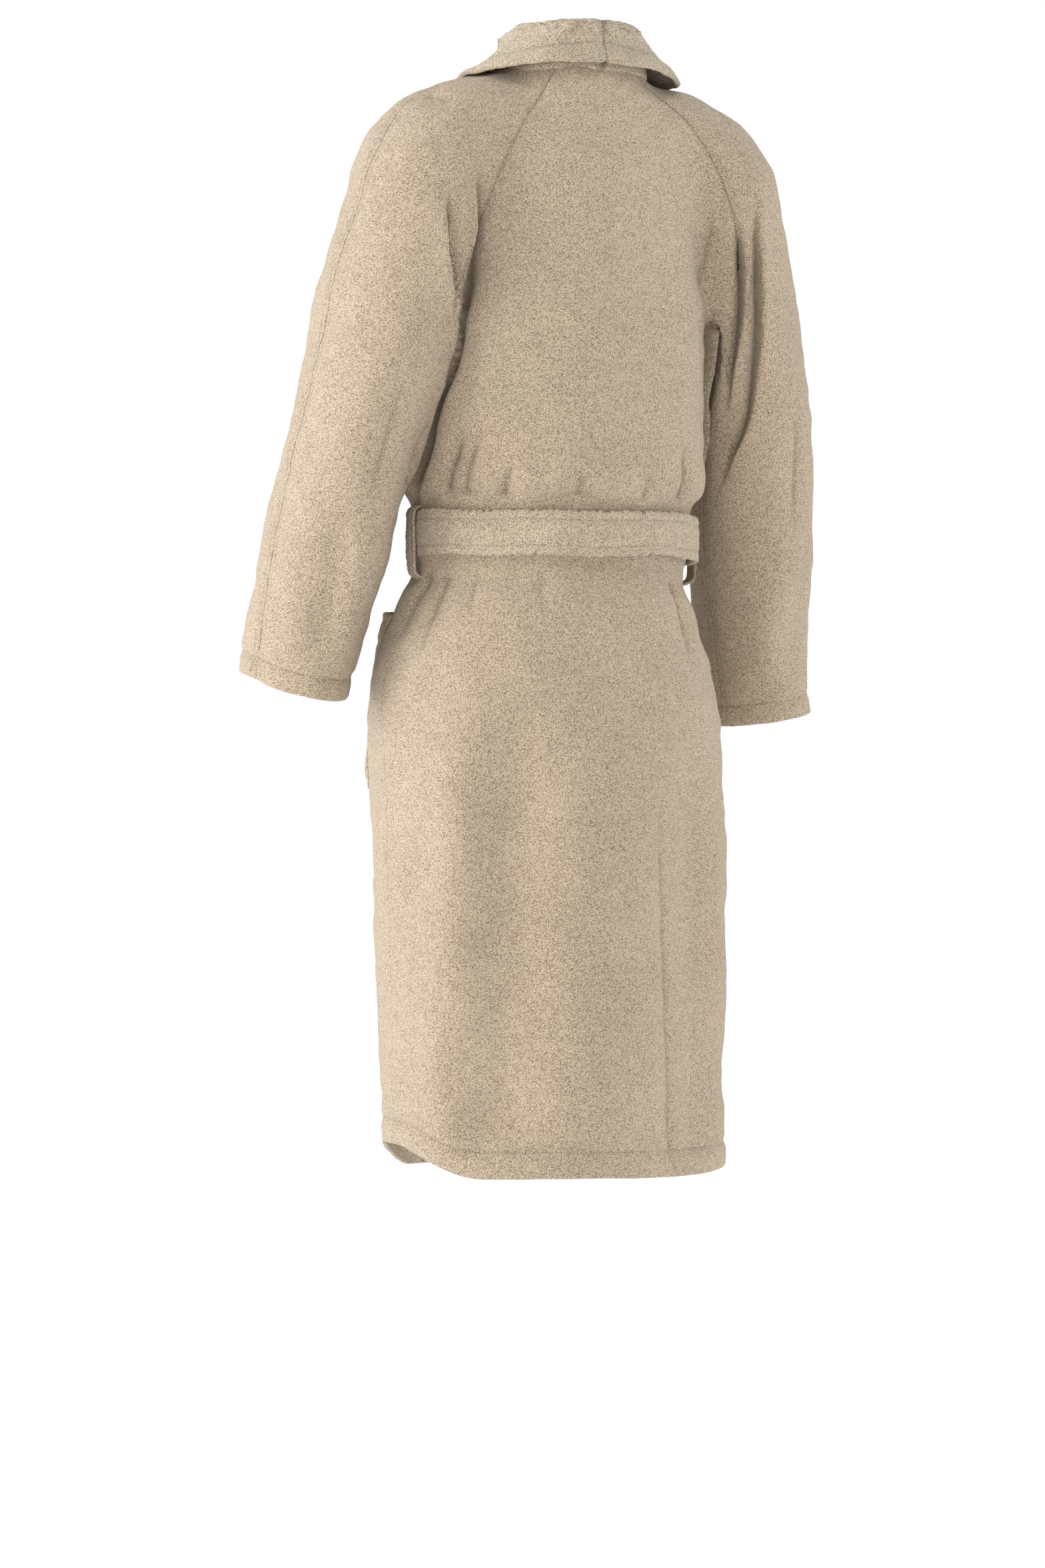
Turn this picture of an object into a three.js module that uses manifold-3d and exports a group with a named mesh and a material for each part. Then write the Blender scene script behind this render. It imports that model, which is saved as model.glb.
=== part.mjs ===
// A shawl-collar towelling bathrobe, worn shape: left front wrapped over right, raglan sleeves
// cut in a front and a back half, patch pockets, a belt tied through two side loops.
// Millimetres, +Z up, front towards -Y, the wearer's left is +X. Origin at the nape.
import * as THREE from "three";
import { mergeVertices } from "three/addons/utils/BufferGeometryUtils.js";
import Module from "manifold-3d";

const wasm = await Module();
wasm.setup();

// ---- driving dimensions: cloth and clearances ----
const CLOTH = 5; // one ply of terry
const SEAM_GAP = 0.4; // between the cut edges of two pieces that are sewn together
const PLY_GAP = 0.3; // between two plies that lie on each other
const BELT_GAP = 1; // between the robe and the inside of the tied belt
const OVERRUN = 12; // how far a cutter runs past what it cuts

// ---- driving dimensions: body of the robe ----
const BACK_LENGTH = 1188; // nape to hem
const NECK_HALF_WIDTH = 78;
const NECK_HALF_DEPTH = 68;
const CHEST_HALF_WIDTH = 176;
const CHEST_HALF_DEPTH = 130;
const WAIST_HALF_WIDTH = 160;
const WAIST_HALF_DEPTH = 122;
const HIP_HALF_WIDTH = 202;
const HIP_HALF_DEPTH = 156;
const HEM_HALF_WIDTH = 193;
const HEM_HALF_DEPTH = 148;
const BODY_CENTRE_Y = -120; // axis of the body, in front of the nape
const SIDE_SEAM_Y = BODY_CENTRE_Y + 6;
const BELT_HEIGHT = 497; // nape down to the middle of the belt
const UNDERARM_DROP = 262;

// ---- driving dimensions: belt and its loops ----
const BELT_WIDTH = 44;
const BELT_THICKNESS = 6;
const BELT_TRAVEL = 14; // how far the tied belt slips down inside its loops
const LOOP_STRAP = 3.5;
const LOOP_WIDTH = 16;
const LOOP_PLAY = 3; // loop strap to belt, outwards
const BELT_END_LENGTH = 380;
const END_SPACING = 3; // from the middle of the front to each hanging end
const KNOT_HALF = [44, 26, 34];

// ---- driving dimensions: sleeves ----
const SLEEVE_CLEAR = 10; // inside of the arm tube to whatever the body carries at its side
const ARM_HALF_WIDTH = 68;
const ARM_HALF_DEPTH = 89;
const CUFF_HALF_WIDTH = 57;
const CUFF_HALF_DEPTH = 72;
const CUFF_DROP = 672; // nape down to the middle of the cuff's edge
const CUFF_OUT = 40; // how much further out the cuff hangs than the elbow
const SWING_PIVOT = [-138, -110]; // Y and Z of the shoulder's swing axis
const SWING_RADIUS = 232; // where the arm tube parts from the raglan head

// ---- driving dimensions: fronts, collar, pockets, trim ----
const FRONT_EDGE_TOP_X = 72; // front edge at the neck point
const FRONT_OVERLAP = 75; // how far each front passes the middle, from the belt down
const JOGGLE = 14; // width over which the under front steps in below the upper one
const COLLAR_HEIGHT = 57; // roll of the collar above the nape
const COLLAR_REACH_X = 118; // where the fallen collar ends on the shoulder
const COLLAR_REACH_Y = 82; // and behind the neck
const LAPEL_END_DROP = 440;
const POCKET_SPAN = 130; // the pocket's width seen straight from the front; it wraps the hip
const POCKET_HEIGHT = 185;
const POCKET_TOP_DROP = 585;
const POCKET_INNER_GAP = 8; // from a hanging belt end to the pocket's inner edge
const POCKET_ROOM = 12; // how far the pocket's face stands off the front
const HANGER_WIDTH = 64;
const HANGER_DROP = 32;
const HANGER_TAPE = 6;
const HANGER_THICKNESS = 2.5;
const HANGER_SEAT_DROP = 3.3; // from the inside of the back ply to the loop's seat, in Y
const LABEL_THICKNESS = 1;

const AROUND_BODY = 40;
const AROUND_SLEEVE = 22;
const FAR = 600;

const TERRY = { color: 0xc4b299, roughness: 0.95, metalness: 0 };
const TERRY_LIGHT = { color: 0xcdbda6, roughness: 0.95, metalness: 0 };
const TAPE = { color: 0xe6dece, roughness: 0.8, metalness: 0 };

// ---- closed shapes and cuts ----
function solid(geometry) {
  geometry.deleteAttribute("normal");
  geometry.deleteAttribute("uv");
  const merged = mergeVertices(geometry, 1e-5);
  const vertProperties = new Float32Array(merged.attributes.position.array);
  const triVerts = new Uint32Array(merged.index.array);
  return new wasm.Manifold(new wasm.Mesh({ numProp: 3, vertProperties, triVerts }));
}

function meshOf(name, shape, look) {
  const cut = shape.getMesh();
  const positions = new Float32Array((cut.vertProperties.length / cut.numProp) * 3);
  for (let i = 0; i < positions.length / 3; i += 1) {
    for (let k = 0; k < 3; k += 1) positions[3 * i + k] = cut.vertProperties[cut.numProp * i + k];
  }
  const geometry = new THREE.BufferGeometry();
  geometry.setAttribute("position", new THREE.BufferAttribute(positions, 3));
  geometry.setIndex(new THREE.BufferAttribute(new Uint32Array(cut.triVerts), 1));
  geometry.computeVertexNormals();
  const mesh = new THREE.Mesh(geometry, new THREE.MeshStandardMaterial(look));
  mesh.name = name;
  return mesh;
}

function box(x0, x1, y0, y1, z0, z1) {
  const geometry = new THREE.BoxGeometry(x1 - x0, y1 - y0, z1 - z0);
  geometry.translate((x0 + x1) / 2, (y0 + y1) / 2, (z0 + z1) / 2);
  return solid(geometry);
}

// An outline given as [x, z] points, run along Y from y0 to y1.
function prismXZ(points, y0, y1) {
  const shape = new THREE.Shape(points.map(([x, z]) => new THREE.Vector2(x, z)));
  const geometry = new THREE.ExtrudeGeometry(shape, { depth: y1 - y0, bevelEnabled: false });
  geometry.rotateX(Math.PI / 2);
  geometry.translate(0, y1, 0);
  return solid(geometry);
}

// An outline given as [y, z] points, run along X from x0 to x1.
function prismYZ(points, x0, x1) {
  const shape = new THREE.Shape(points.map(([y, z]) => new THREE.Vector2(y, z)));
  const geometry = new THREE.ExtrudeGeometry(shape, { depth: x1 - x0, bevelEnabled: false });
  const turn = new THREE.Matrix4().set(0, 0, 1, x0, 1, 0, 0, 0, 0, 1, 0, 0, 0, 0, 0, 1);
  geometry.applyMatrix4(turn);
  return solid(geometry);
}

function ellipticPost(halfX, halfY, centreY, z0, z1) {
  const geometry = new THREE.CylinderGeometry(1, 1, z1 - z0, AROUND_BODY);
  geometry.rotateX(Math.PI / 2);
  geometry.scale(halfX, halfY, 1);
  geometry.translate(0, centreY, (z0 + z1) / 2);
  return solid(geometry);
}

// A closed cylinder whose rows are laid on a list of stations, from the lowest to the highest.
// Each station gives its centre, its across and depth directions and its two half sizes.
function loft(stations, around, limit) {
  const geometry = new THREE.CylinderGeometry(1, 1, 1, around, stations.length - 1);
  const place = geometry.attributes.position;
  const point = new THREE.Vector3();
  for (let i = 0; i < place.count; i += 1) {
    const row = Math.round((place.getY(i) + 0.5) * (stations.length - 1));
    const { centre, across, depth, halfAcross, halfDepth } = stations[row];
    point.copy(centre);
    point.addScaledVector(across, halfAcross * place.getX(i));
    point.addScaledVector(depth, -halfDepth * place.getZ(i));
    if (limit) limit(point);
    place.setXYZ(i, point.x, point.y, point.z);
  }
  return solid(geometry);
}

// ---- the robe's form, at any offset from its outer face ----
const BELT_Z = -BELT_HEIGHT;
const WAIST_TOP_Z = BELT_Z + BELT_WIDTH / 2 + 16;
const WAIST_LOW_Z = BELT_Z - BELT_WIDTH / 2 - BELT_TRAVEL - 8;
const FLANK_Z = -375; // midway between the underarm and the belt
const HIP_Z = BELT_Z - 213;
const HIP_CENTRE_Y = BODY_CENTRE_Y - 6;
const HEM_Z = -BACK_LENGTH;
const NECK_CENTRE_Y = -NECK_HALF_DEPTH;

// Rows of the body: height, centre in Y, half width, half depth.
const BODY_ROWS = [
  [HEM_Z, BODY_CENTRE_Y + 2, HEM_HALF_WIDTH, HEM_HALF_DEPTH],
  [(HEM_Z + HIP_Z) / 2, BODY_CENTRE_Y - 3, (HEM_HALF_WIDTH + HIP_HALF_WIDTH) / 2 + 2, HIP_HALF_DEPTH - 2],
  [HIP_Z, HIP_CENTRE_Y, HIP_HALF_WIDTH, HIP_HALF_DEPTH],
  [HIP_Z + 90, BODY_CENTRE_Y - 4, HIP_HALF_WIDTH - 12, HIP_HALF_DEPTH - 8],
  [WAIST_LOW_Z - 12, BODY_CENTRE_Y, WAIST_HALF_WIDTH + 6, WAIST_HALF_DEPTH + 6],
  [WAIST_LOW_Z, BODY_CENTRE_Y, WAIST_HALF_WIDTH, WAIST_HALF_DEPTH],
  [WAIST_TOP_Z, BODY_CENTRE_Y, WAIST_HALF_WIDTH, WAIST_HALF_DEPTH],
  [WAIST_TOP_Z + 14, BODY_CENTRE_Y + 1, WAIST_HALF_WIDTH + 8, WAIST_HALF_DEPTH + 8],
  [FLANK_Z, BODY_CENTRE_Y + 8, CHEST_HALF_WIDTH - 5, CHEST_HALF_DEPTH - 1],
  [-UNDERARM_DROP, BODY_CENTRE_Y + 14, CHEST_HALF_WIDTH, CHEST_HALF_DEPTH],
  [-160, BODY_CENTRE_Y + 22, CHEST_HALF_WIDTH - 8, CHEST_HALF_DEPTH - 8],
  [-80, BODY_CENTRE_Y + 33, CHEST_HALF_WIDTH - 26, CHEST_HALF_DEPTH - 26],
  [-30, NECK_CENTRE_Y - 9, NECK_HALF_WIDTH + 36, NECK_HALF_DEPTH + 16],
  [0, NECK_CENTRE_Y, NECK_HALF_WIDTH, NECK_HALF_DEPTH],
];

const X_AXIS = new THREE.Vector3(1, 0, 0);
const Y_AXIS = new THREE.Vector3(0, 1, 0);

function levelStation([z, centreY, halfWidth, halfDepth], offset) {
  return {
    centre: new THREE.Vector3(0, centreY, z),
    across: X_AXIS,
    depth: Y_AXIS,
    halfAcross: halfWidth + offset,
    halfDepth: halfDepth + offset,
  };
}

// An inner form runs past the outer one at its open ends, so that the shell between is open.
function bodyForm(offset) {
  const rows = BODY_ROWS.map((row) => [...row]);
  if (offset < 0) {
    rows[0][0] -= OVERRUN;
    rows[rows.length - 1][0] += OVERRUN;
  }
  return loft(rows.map((row) => levelStation(row, offset)), AROUND_BODY);
}

const LOOP_REACH = BELT_GAP + BELT_THICKNESS + LOOP_PLAY + LOOP_STRAP;
const ARM_INSIDE_X = Math.max(CHEST_HALF_WIDTH, WAIST_HALF_WIDTH + LOOP_REACH) + SLEEVE_CLEAR;
const CUFF_INSIDE_X = Math.max(ARM_INSIDE_X + CUFF_OUT, HIP_HALF_WIDTH + POCKET_ROOM + SLEEVE_CLEAR);
const SHOULDER_X = CHEST_HALF_WIDTH + 8;
const NECK_ROOT_X = NECK_HALF_WIDTH - 18;

// Rows of a sleeve, cuff first: centre X, Y, Z, half width, half depth.
const SLEEVE_ROWS = [
  [CUFF_INSIDE_X + CUFF_HALF_WIDTH, -182, -CUFF_DROP, CUFF_HALF_WIDTH, CUFF_HALF_DEPTH],
  [
    (ARM_INSIDE_X + ARM_HALF_WIDTH + CUFF_INSIDE_X + CUFF_HALF_WIDTH) / 2,
    -163,
    -(CUFF_DROP + BELT_HEIGHT) / 2,
    (ARM_HALF_WIDTH + CUFF_HALF_WIDTH) / 2,
    (ARM_HALF_DEPTH + CUFF_HALF_DEPTH) / 2,
  ],
  [ARM_INSIDE_X + ARM_HALF_WIDTH, -143, -BELT_HEIGHT, ARM_HALF_WIDTH, ARM_HALF_DEPTH],
  [ARM_INSIDE_X + ARM_HALF_WIDTH - 14, -126, -393, ARM_HALF_WIDTH + 1, ARM_HALF_DEPTH + 2],
  [ARM_INSIDE_X + ARM_HALF_WIDTH - 38, -108, -280, ARM_HALF_WIDTH + 5, ARM_HALF_DEPTH + 3],
  [SHOULDER_X + 14, -95, -190, ARM_HALF_WIDTH + 10, ARM_HALF_DEPTH + 3],
  [SHOULDER_X - 2, -84, -112, ARM_HALF_WIDTH + 4, ARM_HALF_DEPTH - 5],
  [(SHOULDER_X + NECK_ROOT_X) / 2 + 4, -76, -64, ARM_HALF_WIDTH - 9, ARM_HALF_DEPTH - 19],
  [NECK_ROOT_X, -70, -50, ARM_HALF_WIDTH - 22, ARM_HALF_DEPTH - 35],
];

function sleeveForm(side, offset) {
  const centres = SLEEVE_ROWS.map(([x, y, z]) => new THREE.Vector3(side * x, y, z));
  const stations = SLEEVE_ROWS.map(([, , , halfAcross, halfDepth], i) => {
    const above = centres[Math.min(i + 1, centres.length - 1)];
    const below = centres[Math.max(i - 1, 0)];
    const along = above.clone().sub(below).normalize();
    const depth = Y_AXIS.clone().addScaledVector(along, -along.y).normalize();
    const across = depth.clone().cross(along);
    const centre = centres[i].clone();
    if (i === 0 && offset < 0) centre.addScaledVector(along, -OVERRUN);
    return { centre, across, depth, halfAcross: halfAcross + offset, halfDepth: halfDepth + offset };
  });
  // The inside of the arm tube lies flat along the body's side, below the underarm.
  const flatten = (point) => {
    const rise = Math.max(0, point.z + UNDERARM_DROP);
    const inside = ARM_INSIDE_X - 2 * rise - offset;
    if (side * point.x < inside && rise < UNDERARM_DROP - 100) point.x = side * inside;
  };
  return loft(stations, AROUND_SLEEVE, flatten);
}

function robeForm(offset) {
  return bodyForm(offset).add(sleeveForm(1, offset)).add(sleeveForm(-1, offset));
}

const outer = robeForm(0);
const ply = outer.subtract(robeForm(-CLOTH));

// ---- seam lines ----
// The raglan seam, as [x, z] from the neck to the underarm.
const RAGLAN_SEAM = [
  [NECK_HALF_WIDTH - 33, 6],
  [NECK_HALF_WIDTH + 27, -41],
  [CHEST_HALF_WIDTH - 26, -102],
  [CHEST_HALF_WIDTH + 2, -176],
  [(CHEST_HALF_WIDTH + ARM_INSIDE_X) / 2, -UNDERARM_DROP],
];

function bodyHalfWidthAt(z) {
  const above = BODY_ROWS.findIndex((row) => row[0] > z);
  const [z0, , w0] = BODY_ROWS[above - 1];
  const [z1, , w1] = BODY_ROWS[above];
  return THREE.MathUtils.mapLinear(z, z0, z1, w0, w1);
}

// Between the body and the hanging sleeves, halfway across the open gap.
function sideGapX(z) {
  const reach = THREE.MathUtils.clamp((-z - BELT_HEIGHT) / (CUFF_DROP - BELT_HEIGHT), 0, 1);
  const sleeveInside = THREE.MathUtils.lerp(ARM_INSIDE_X, CUFF_INSIDE_X, reach);
  return (bodyHalfWidthAt(z) + sleeveInside) / 2;
}

const CUFF_LOW_Z = -CUFF_DROP - CUFF_HALF_DEPTH / 2;
const SIDE_HEIGHTS = [FLANK_Z, WAIST_TOP_Z, WAIST_LOW_Z, -CUFF_DROP, CUFF_LOW_Z];
const SIDE_LINE = SIDE_HEIGHTS.map((z) => [sideGapX(z), z]);
const BODY_LINE = [...RAGLAN_SEAM, ...SIDE_LINE, [FAR, CUFF_LOW_Z - 1], [FAR, HEM_Z]];

function bodyOutline(inset) {
  const leftLine = BODY_LINE.map(([x, z]) => [x - inset, z]);
  const rightLine = leftLine.map(([x, z]) => [-x, z]).reverse();
  const top = [[-leftLine[0][0], COLLAR_HEIGHT], [leftLine[0][0], COLLAR_HEIGHT]];
  return [...top, ...leftLine, ...rightLine];
}

const bodyRegion = prismXZ(bodyOutline(SEAM_GAP), -FAR, FAR);
const notBodyRegion = prismXZ(bodyOutline(0), -FAR, FAR);

// X of the left front's edge: slanting over the chest, upright from just above the belt down.
const EDGE_BOTTOM_Z = WAIST_TOP_Z + 6;
const FRONT_EDGE = [
  [FRONT_EDGE_TOP_X, FAR],
  [FRONT_EDGE_TOP_X, 0],
  [-FRONT_OVERLAP, EDGE_BOTTOM_Z],
  [-FRONT_OVERLAP, HEM_Z - FAR],
];

function frontEdgeX(z) {
  if (z <= EDGE_BOTTOM_Z) return -FRONT_OVERLAP;
  return THREE.MathUtils.mapLinear(z, 0, EDGE_BOTTOM_Z, FRONT_EDGE_TOP_X, -FRONT_OVERLAP);
}

// Everything on the wearer's left of the left front's edge moved by shift along X,
// or its mirror image for the right front.
function pastEdge(shift, side) {
  const line = FRONT_EDGE.map(([x, z]) => [side * (x + shift), z]);
  return prismXZ([[side * FAR, FAR], ...line, [side * FAR, HEM_Z - FAR]], -FAR, SIDE_SEAM_Y);
}

// ---- body panels ----
const bodyPly = ply.intersect(bodyRegion);
const behindSeam = box(-FAR, FAR, SIDE_SEAM_Y + SEAM_GAP, FAR, HEM_Z - FAR, FAR);
const backPanel = bodyPly.intersect(behindSeam);

const leftFront = bodyPly.intersect(pastEdge(0, 1));

// The right front lies in the same ply until the left front's edge, where it steps in under it.
const underPly = robeForm(-CLOTH - PLY_GAP).subtract(robeForm(-2 * CLOTH - PLY_GAP));
const stepPly = outer.subtract(robeForm(-2 * CLOTH - PLY_GAP));
const rightSide = pastEdge(0, -1);
const rightShown = bodyPly.intersect(rightSide).subtract(pastEdge(-SEAM_GAP, 1));
const rightUnder = underPly.intersect(bodyRegion).intersect(rightSide).intersect(pastEdge(-JOGGLE, 1));
const rightStep = stepPly
  .intersect(bodyRegion)
  .intersect(rightSide)
  .intersect(pastEdge(-JOGGLE, 1))
  .subtract(pastEdge(-SEAM_GAP, 1));
const rightFront = rightShown.add(rightUnder).add(rightStep);

// ---- sleeves ----
function swingDrum(radius) {
  const geometry = new THREE.CylinderGeometry(radius, radius, 2 * FAR, 72);
  geometry.rotateZ(Math.PI / 2);
  geometry.translate(0, SWING_PIVOT[0], SWING_PIVOT[1]);
  return solid(geometry);
}

// Over-arm and underarm seams: a surface through the middle of the sleeve, as [y, z].
function beforeSleeveSeam(shift) {
  const line = SLEEVE_ROWS.map(([, y, z]) => [y + shift, z]);
  const low = [line[0][0] - 4, CUFF_LOW_Z - OVERRUN];
  const high = [line[line.length - 1][0], FAR];
  return prismYZ([[-FAR, CUFF_LOW_Z - OVERRUN], low, ...line, high, [-FAR, FAR]], -FAR, FAR);
}

const sleevePly = ply.subtract(notBodyRegion);
const headZone = swingDrum(SWING_RADIUS);
const armCutter = swingDrum(SWING_RADIUS + SEAM_GAP);
const frontHalf = beforeSleeveSeam(-SEAM_GAP / 2);
const notBackHalf = beforeSleeveSeam(SEAM_GAP / 2);

function sleevePieces(side) {
  const half = side > 0 ? box(0, FAR, -FAR, FAR, -FAR * 2, FAR) : box(-FAR, 0, -FAR, FAR, -FAR * 2, FAR);
  const sleeve = sleevePly.intersect(half);
  const head = sleeve.intersect(headZone);
  const arm = sleeve.subtract(armCutter);
  return {
    head_front: head.intersect(frontHalf),
    head_back: head.subtract(notBackHalf),
    arm_front: arm.intersect(frontHalf),
    arm_back: arm.subtract(notBackHalf),
  };
}

// ---- collar: a stand around the neck, and a fall that turns down over it onto the chest ----
const ROLL_THICKNESS = CLOTH;
const STAND_TOP_Z = COLLAR_HEIGHT - ROLL_THICKNESS - PLY_GAP;

function collarForm(offset) {
  const mound = [
    [-60, NECK_CENTRE_Y, NECK_HALF_WIDTH + 42, NECK_HALF_DEPTH + 32],
    [10, NECK_CENTRE_Y, NECK_HALF_WIDTH + 17, NECK_HALF_DEPTH + 13],
    [STAND_TOP_Z + PLY_GAP, NECK_CENTRE_Y, NECK_HALF_WIDTH + 4, NECK_HALF_DEPTH + 3],
  ];
  mound[2][0] += offset;
  const neck = loft(mound.map((row) => levelStation(row, offset)), AROUND_BODY);
  return robeForm(offset + PLY_GAP).add(neck);
}

// The left lapel's outline as [x, z]: its inner side follows the front edge, its outer side swells.
const LAPEL_OUTER = [
  [COLLAR_REACH_X + 2, 10],
  [COLLAR_REACH_X + 4, -60],
  [COLLAR_REACH_X - 12, -140],
  [COLLAR_REACH_X - 48, -250],
  [frontEdgeX(-360) + 50, -360],
  [frontEdgeX(-LAPEL_END_DROP) + 12, -LAPEL_END_DROP],
];
const LAPEL_INNER = [
  [frontEdgeX(-LAPEL_END_DROP), -LAPEL_END_DROP],
  [FRONT_EDGE_TOP_X, 0],
  [FRONT_EDGE_TOP_X, 10],
];

function lapelZone(side) {
  const outline = [...LAPEL_OUTER, ...LAPEL_INNER].map(([x, z]) => [side * x, z]);
  return prismXZ(outline, -FAR, NECK_CENTRE_Y);
}

const neckHole = ellipticPost(
  NECK_HALF_WIDTH - CLOTH,
  NECK_HALF_DEPTH - CLOTH,
  NECK_CENTRE_Y,
  -FAR,
  FAR,
);
const collarPly = collarForm(CLOTH).subtract(collarForm(0)).subtract(neckHole);
const neckZone = ellipticPost(COLLAR_REACH_X, COLLAR_REACH_Y, NECK_CENTRE_Y, -60, FAR);
const behindNeck = box(-FAR, FAR, NECK_CENTRE_Y, FAR, -FAR, FAR);
const standRing = ellipticPost(NECK_HALF_WIDTH, NECK_HALF_DEPTH, NECK_CENTRE_Y, PLY_GAP, STAND_TOP_Z)
  .subtract(neckHole);

// The open throat: everything in front of the neck between the two front edges.
const throat = prismXZ(
  [[-FRONT_EDGE_TOP_X, FAR], [-FRONT_EDGE_TOP_X, 0], [0, 0], [FRONT_EDGE_TOP_X, 0], [FRONT_EDGE_TOP_X, FAR]],
  -FAR,
  NECK_CENTRE_Y - 20,
);

function collarPieces(side) {
  const half = side > 0
    ? box(SEAM_GAP / 2, FAR, -FAR, FAR, -FAR, FAR)
    : box(-FAR, -SEAM_GAP / 2, -FAR, FAR, -FAR, FAR);
  const around = collarPly.intersect(neckZone).intersect(half).subtract(throat);
  let lapel = collarPly.intersect(lapelZone(side));
  if (side < 0) lapel = lapel.subtract(pastEdge(-SEAM_GAP, 1));
  const stand = standRing.intersect(half).intersect(behindNeck.add(half.subtract(throat)));
  return { fall: around.add(lapel), stand };
}

// ---- pockets: a face standing off the front, with sides and a bottom, open at the top ----
const POCKET_TOP_Z = -POCKET_TOP_DROP;
const POCKET_LOW_Z = POCKET_TOP_Z - POCKET_HEIGHT;
// The face hangs plumb from its mouth, so the mouth gapes where the skirt runs in to the waist.
function hipPost(offset) {
  return ellipticPost(
    HIP_HALF_WIDTH + offset,
    HIP_HALF_DEPTH + offset,
    HIP_CENTRE_Y,
    POCKET_LOW_Z - OVERRUN,
    POCKET_TOP_Z + OVERRUN,
  );
}

const pocketBlock = hipPost(POCKET_ROOM + CLOTH).subtract(robeForm(PLY_GAP));
const pocketRoom = hipPost(POCKET_ROOM);

function pocket(side) {
  const x0 = END_SPACING + BELT_WIDTH + POCKET_INNER_GAP;
  const x1 = x0 + POCKET_SPAN;
  const block = side > 0
    ? box(x0, x1, -FAR, SIDE_SEAM_Y - 20, POCKET_LOW_Z, POCKET_TOP_Z)
    : box(-x1, -x0, -FAR, SIDE_SEAM_Y - 20, POCKET_LOW_Z, POCKET_TOP_Z);
  const inX = [side * (x0 + CLOTH), side * (x1 - CLOTH)].sort((a, b) => a - b);
  const room = box(inX[0], inX[1], -FAR, SIDE_SEAM_Y - 20 - CLOTH, POCKET_LOW_Z + CLOTH, FAR);
  return pocketBlock.intersect(block).subtract(pocketRoom.intersect(room));
}

// ---- belt ----
const beltSlab = box(-FAR, FAR, -FAR, FAR, BELT_Z - BELT_WIDTH / 2, BELT_Z + BELT_WIDTH / 2);
const beltInside = bodyForm(BELT_GAP);
const beltOutside = bodyForm(BELT_GAP + BELT_THICKNESS);
const beltBand = beltOutside.subtract(beltInside).intersect(beltSlab);

const BELT_FRONT_Y = BODY_CENTRE_Y - WAIST_HALF_DEPTH - BELT_GAP - BELT_THICKNESS;
const KNOT_CENTRE_Y = BELT_FRONT_Y - KNOT_HALF[1] * 0.55;

function knot() {
  const geometry = new THREE.SphereGeometry(1, 24, 16);
  geometry.scale(...KNOT_HALF);
  geometry.translate(0, KNOT_CENTRE_Y, BELT_Z);
  const keepAbove = box(-FAR, FAR, -FAR, FAR, BELT_Z - KNOT_HALF[2] + 8, FAR);
  return solid(geometry).subtract(bodyForm(BELT_GAP + BELT_THICKNESS + PLY_GAP)).intersect(keepAbove);
}

// An end hangs from the knot and follows the front of the skirt, as [y, z] down its middle.
const END_TOP_Z = BELT_Z - KNOT_HALF[2] + 8 - SEAM_GAP;
const END_CLEAR = 10;
const END_FRONT_Y = HIP_CENTRE_Y - HIP_HALF_DEPTH - END_CLEAR;
const END_TOP = [KNOT_CENTRE_Y - 4, END_TOP_Z];

function beltEnd(side) {
  const low = END_TOP_Z - BELT_END_LENGTH;
  const middle = [END_TOP, [END_FRONT_Y + 2, HIP_Z + 90], [END_FRONT_Y, HIP_Z], [END_FRONT_Y, low]];
  const outline = [
    ...middle.map(([y, z]) => [y - BELT_THICKNESS / 2, z]),
    ...middle.map(([y, z]) => [y + BELT_THICKNESS / 2, z]).reverse(),
  ];
  const x0 = side > 0 ? END_SPACING : -END_SPACING - BELT_WIDTH;
  return prismYZ(outline, x0, x0 + BELT_WIDTH);
}

// A loop stands off the side seam: two feet and a strap outside the belt.
function beltLoop(side) {
  const top = BELT_Z + BELT_WIDTH / 2 + 2;
  const low = BELT_Z - BELT_WIDTH / 2 - BELT_TRAVEL - 2;
  const reach = WAIST_HALF_WIDTH + LOOP_REACH;
  const y0 = BODY_CENTRE_Y - LOOP_WIDTH / 2;
  const x0 = WAIST_HALF_WIDTH - OVERRUN;
  const block = side > 0
    ? box(x0, reach, y0, y0 + LOOP_WIDTH, low - LOOP_STRAP, top + LOOP_STRAP)
    : box(-reach, -x0, y0, y0 + LOOP_WIDTH, low - LOOP_STRAP, top + LOOP_STRAP);
  const window = side > 0
    ? box(x0, reach - LOOP_STRAP, -FAR, FAR, low, top)
    : box(-reach + LOOP_STRAP, -x0, -FAR, FAR, low, top);
  return block.subtract(window).subtract(bodyForm(PLY_GAP));
}

// ---- trim inside the neck and the side ----
function hanger() {
  const half = HANGER_WIDTH / 2;
  const top = -4;
  const low = top - HANGER_DROP;
  const outline = [
    [-half, top], [-half, low], [half, low], [half, top],
    [half - HANGER_TAPE, top], [half - HANGER_TAPE, low + HANGER_TAPE],
    [-half + HANGER_TAPE, low + HANGER_TAPE], [-half + HANGER_TAPE, top],
  ];
  const seatY = -CLOTH - HANGER_SEAT_DROP;
  return prismXZ(outline, seatY - HANGER_THICKNESS, seatY);
}

const innerSkin = bodyForm(-CLOTH - PLY_GAP).subtract(bodyForm(-CLOTH - PLY_GAP - LABEL_THICKNESS));
const neckLabel = innerSkin.intersect(box(-28, 28, NECK_CENTRE_Y, FAR, -78, -44));
const careLabel = innerSkin.intersect(box(0, FAR, SIDE_SEAM_Y + 8, SIDE_SEAM_Y + 44, -700, -630));

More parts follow.
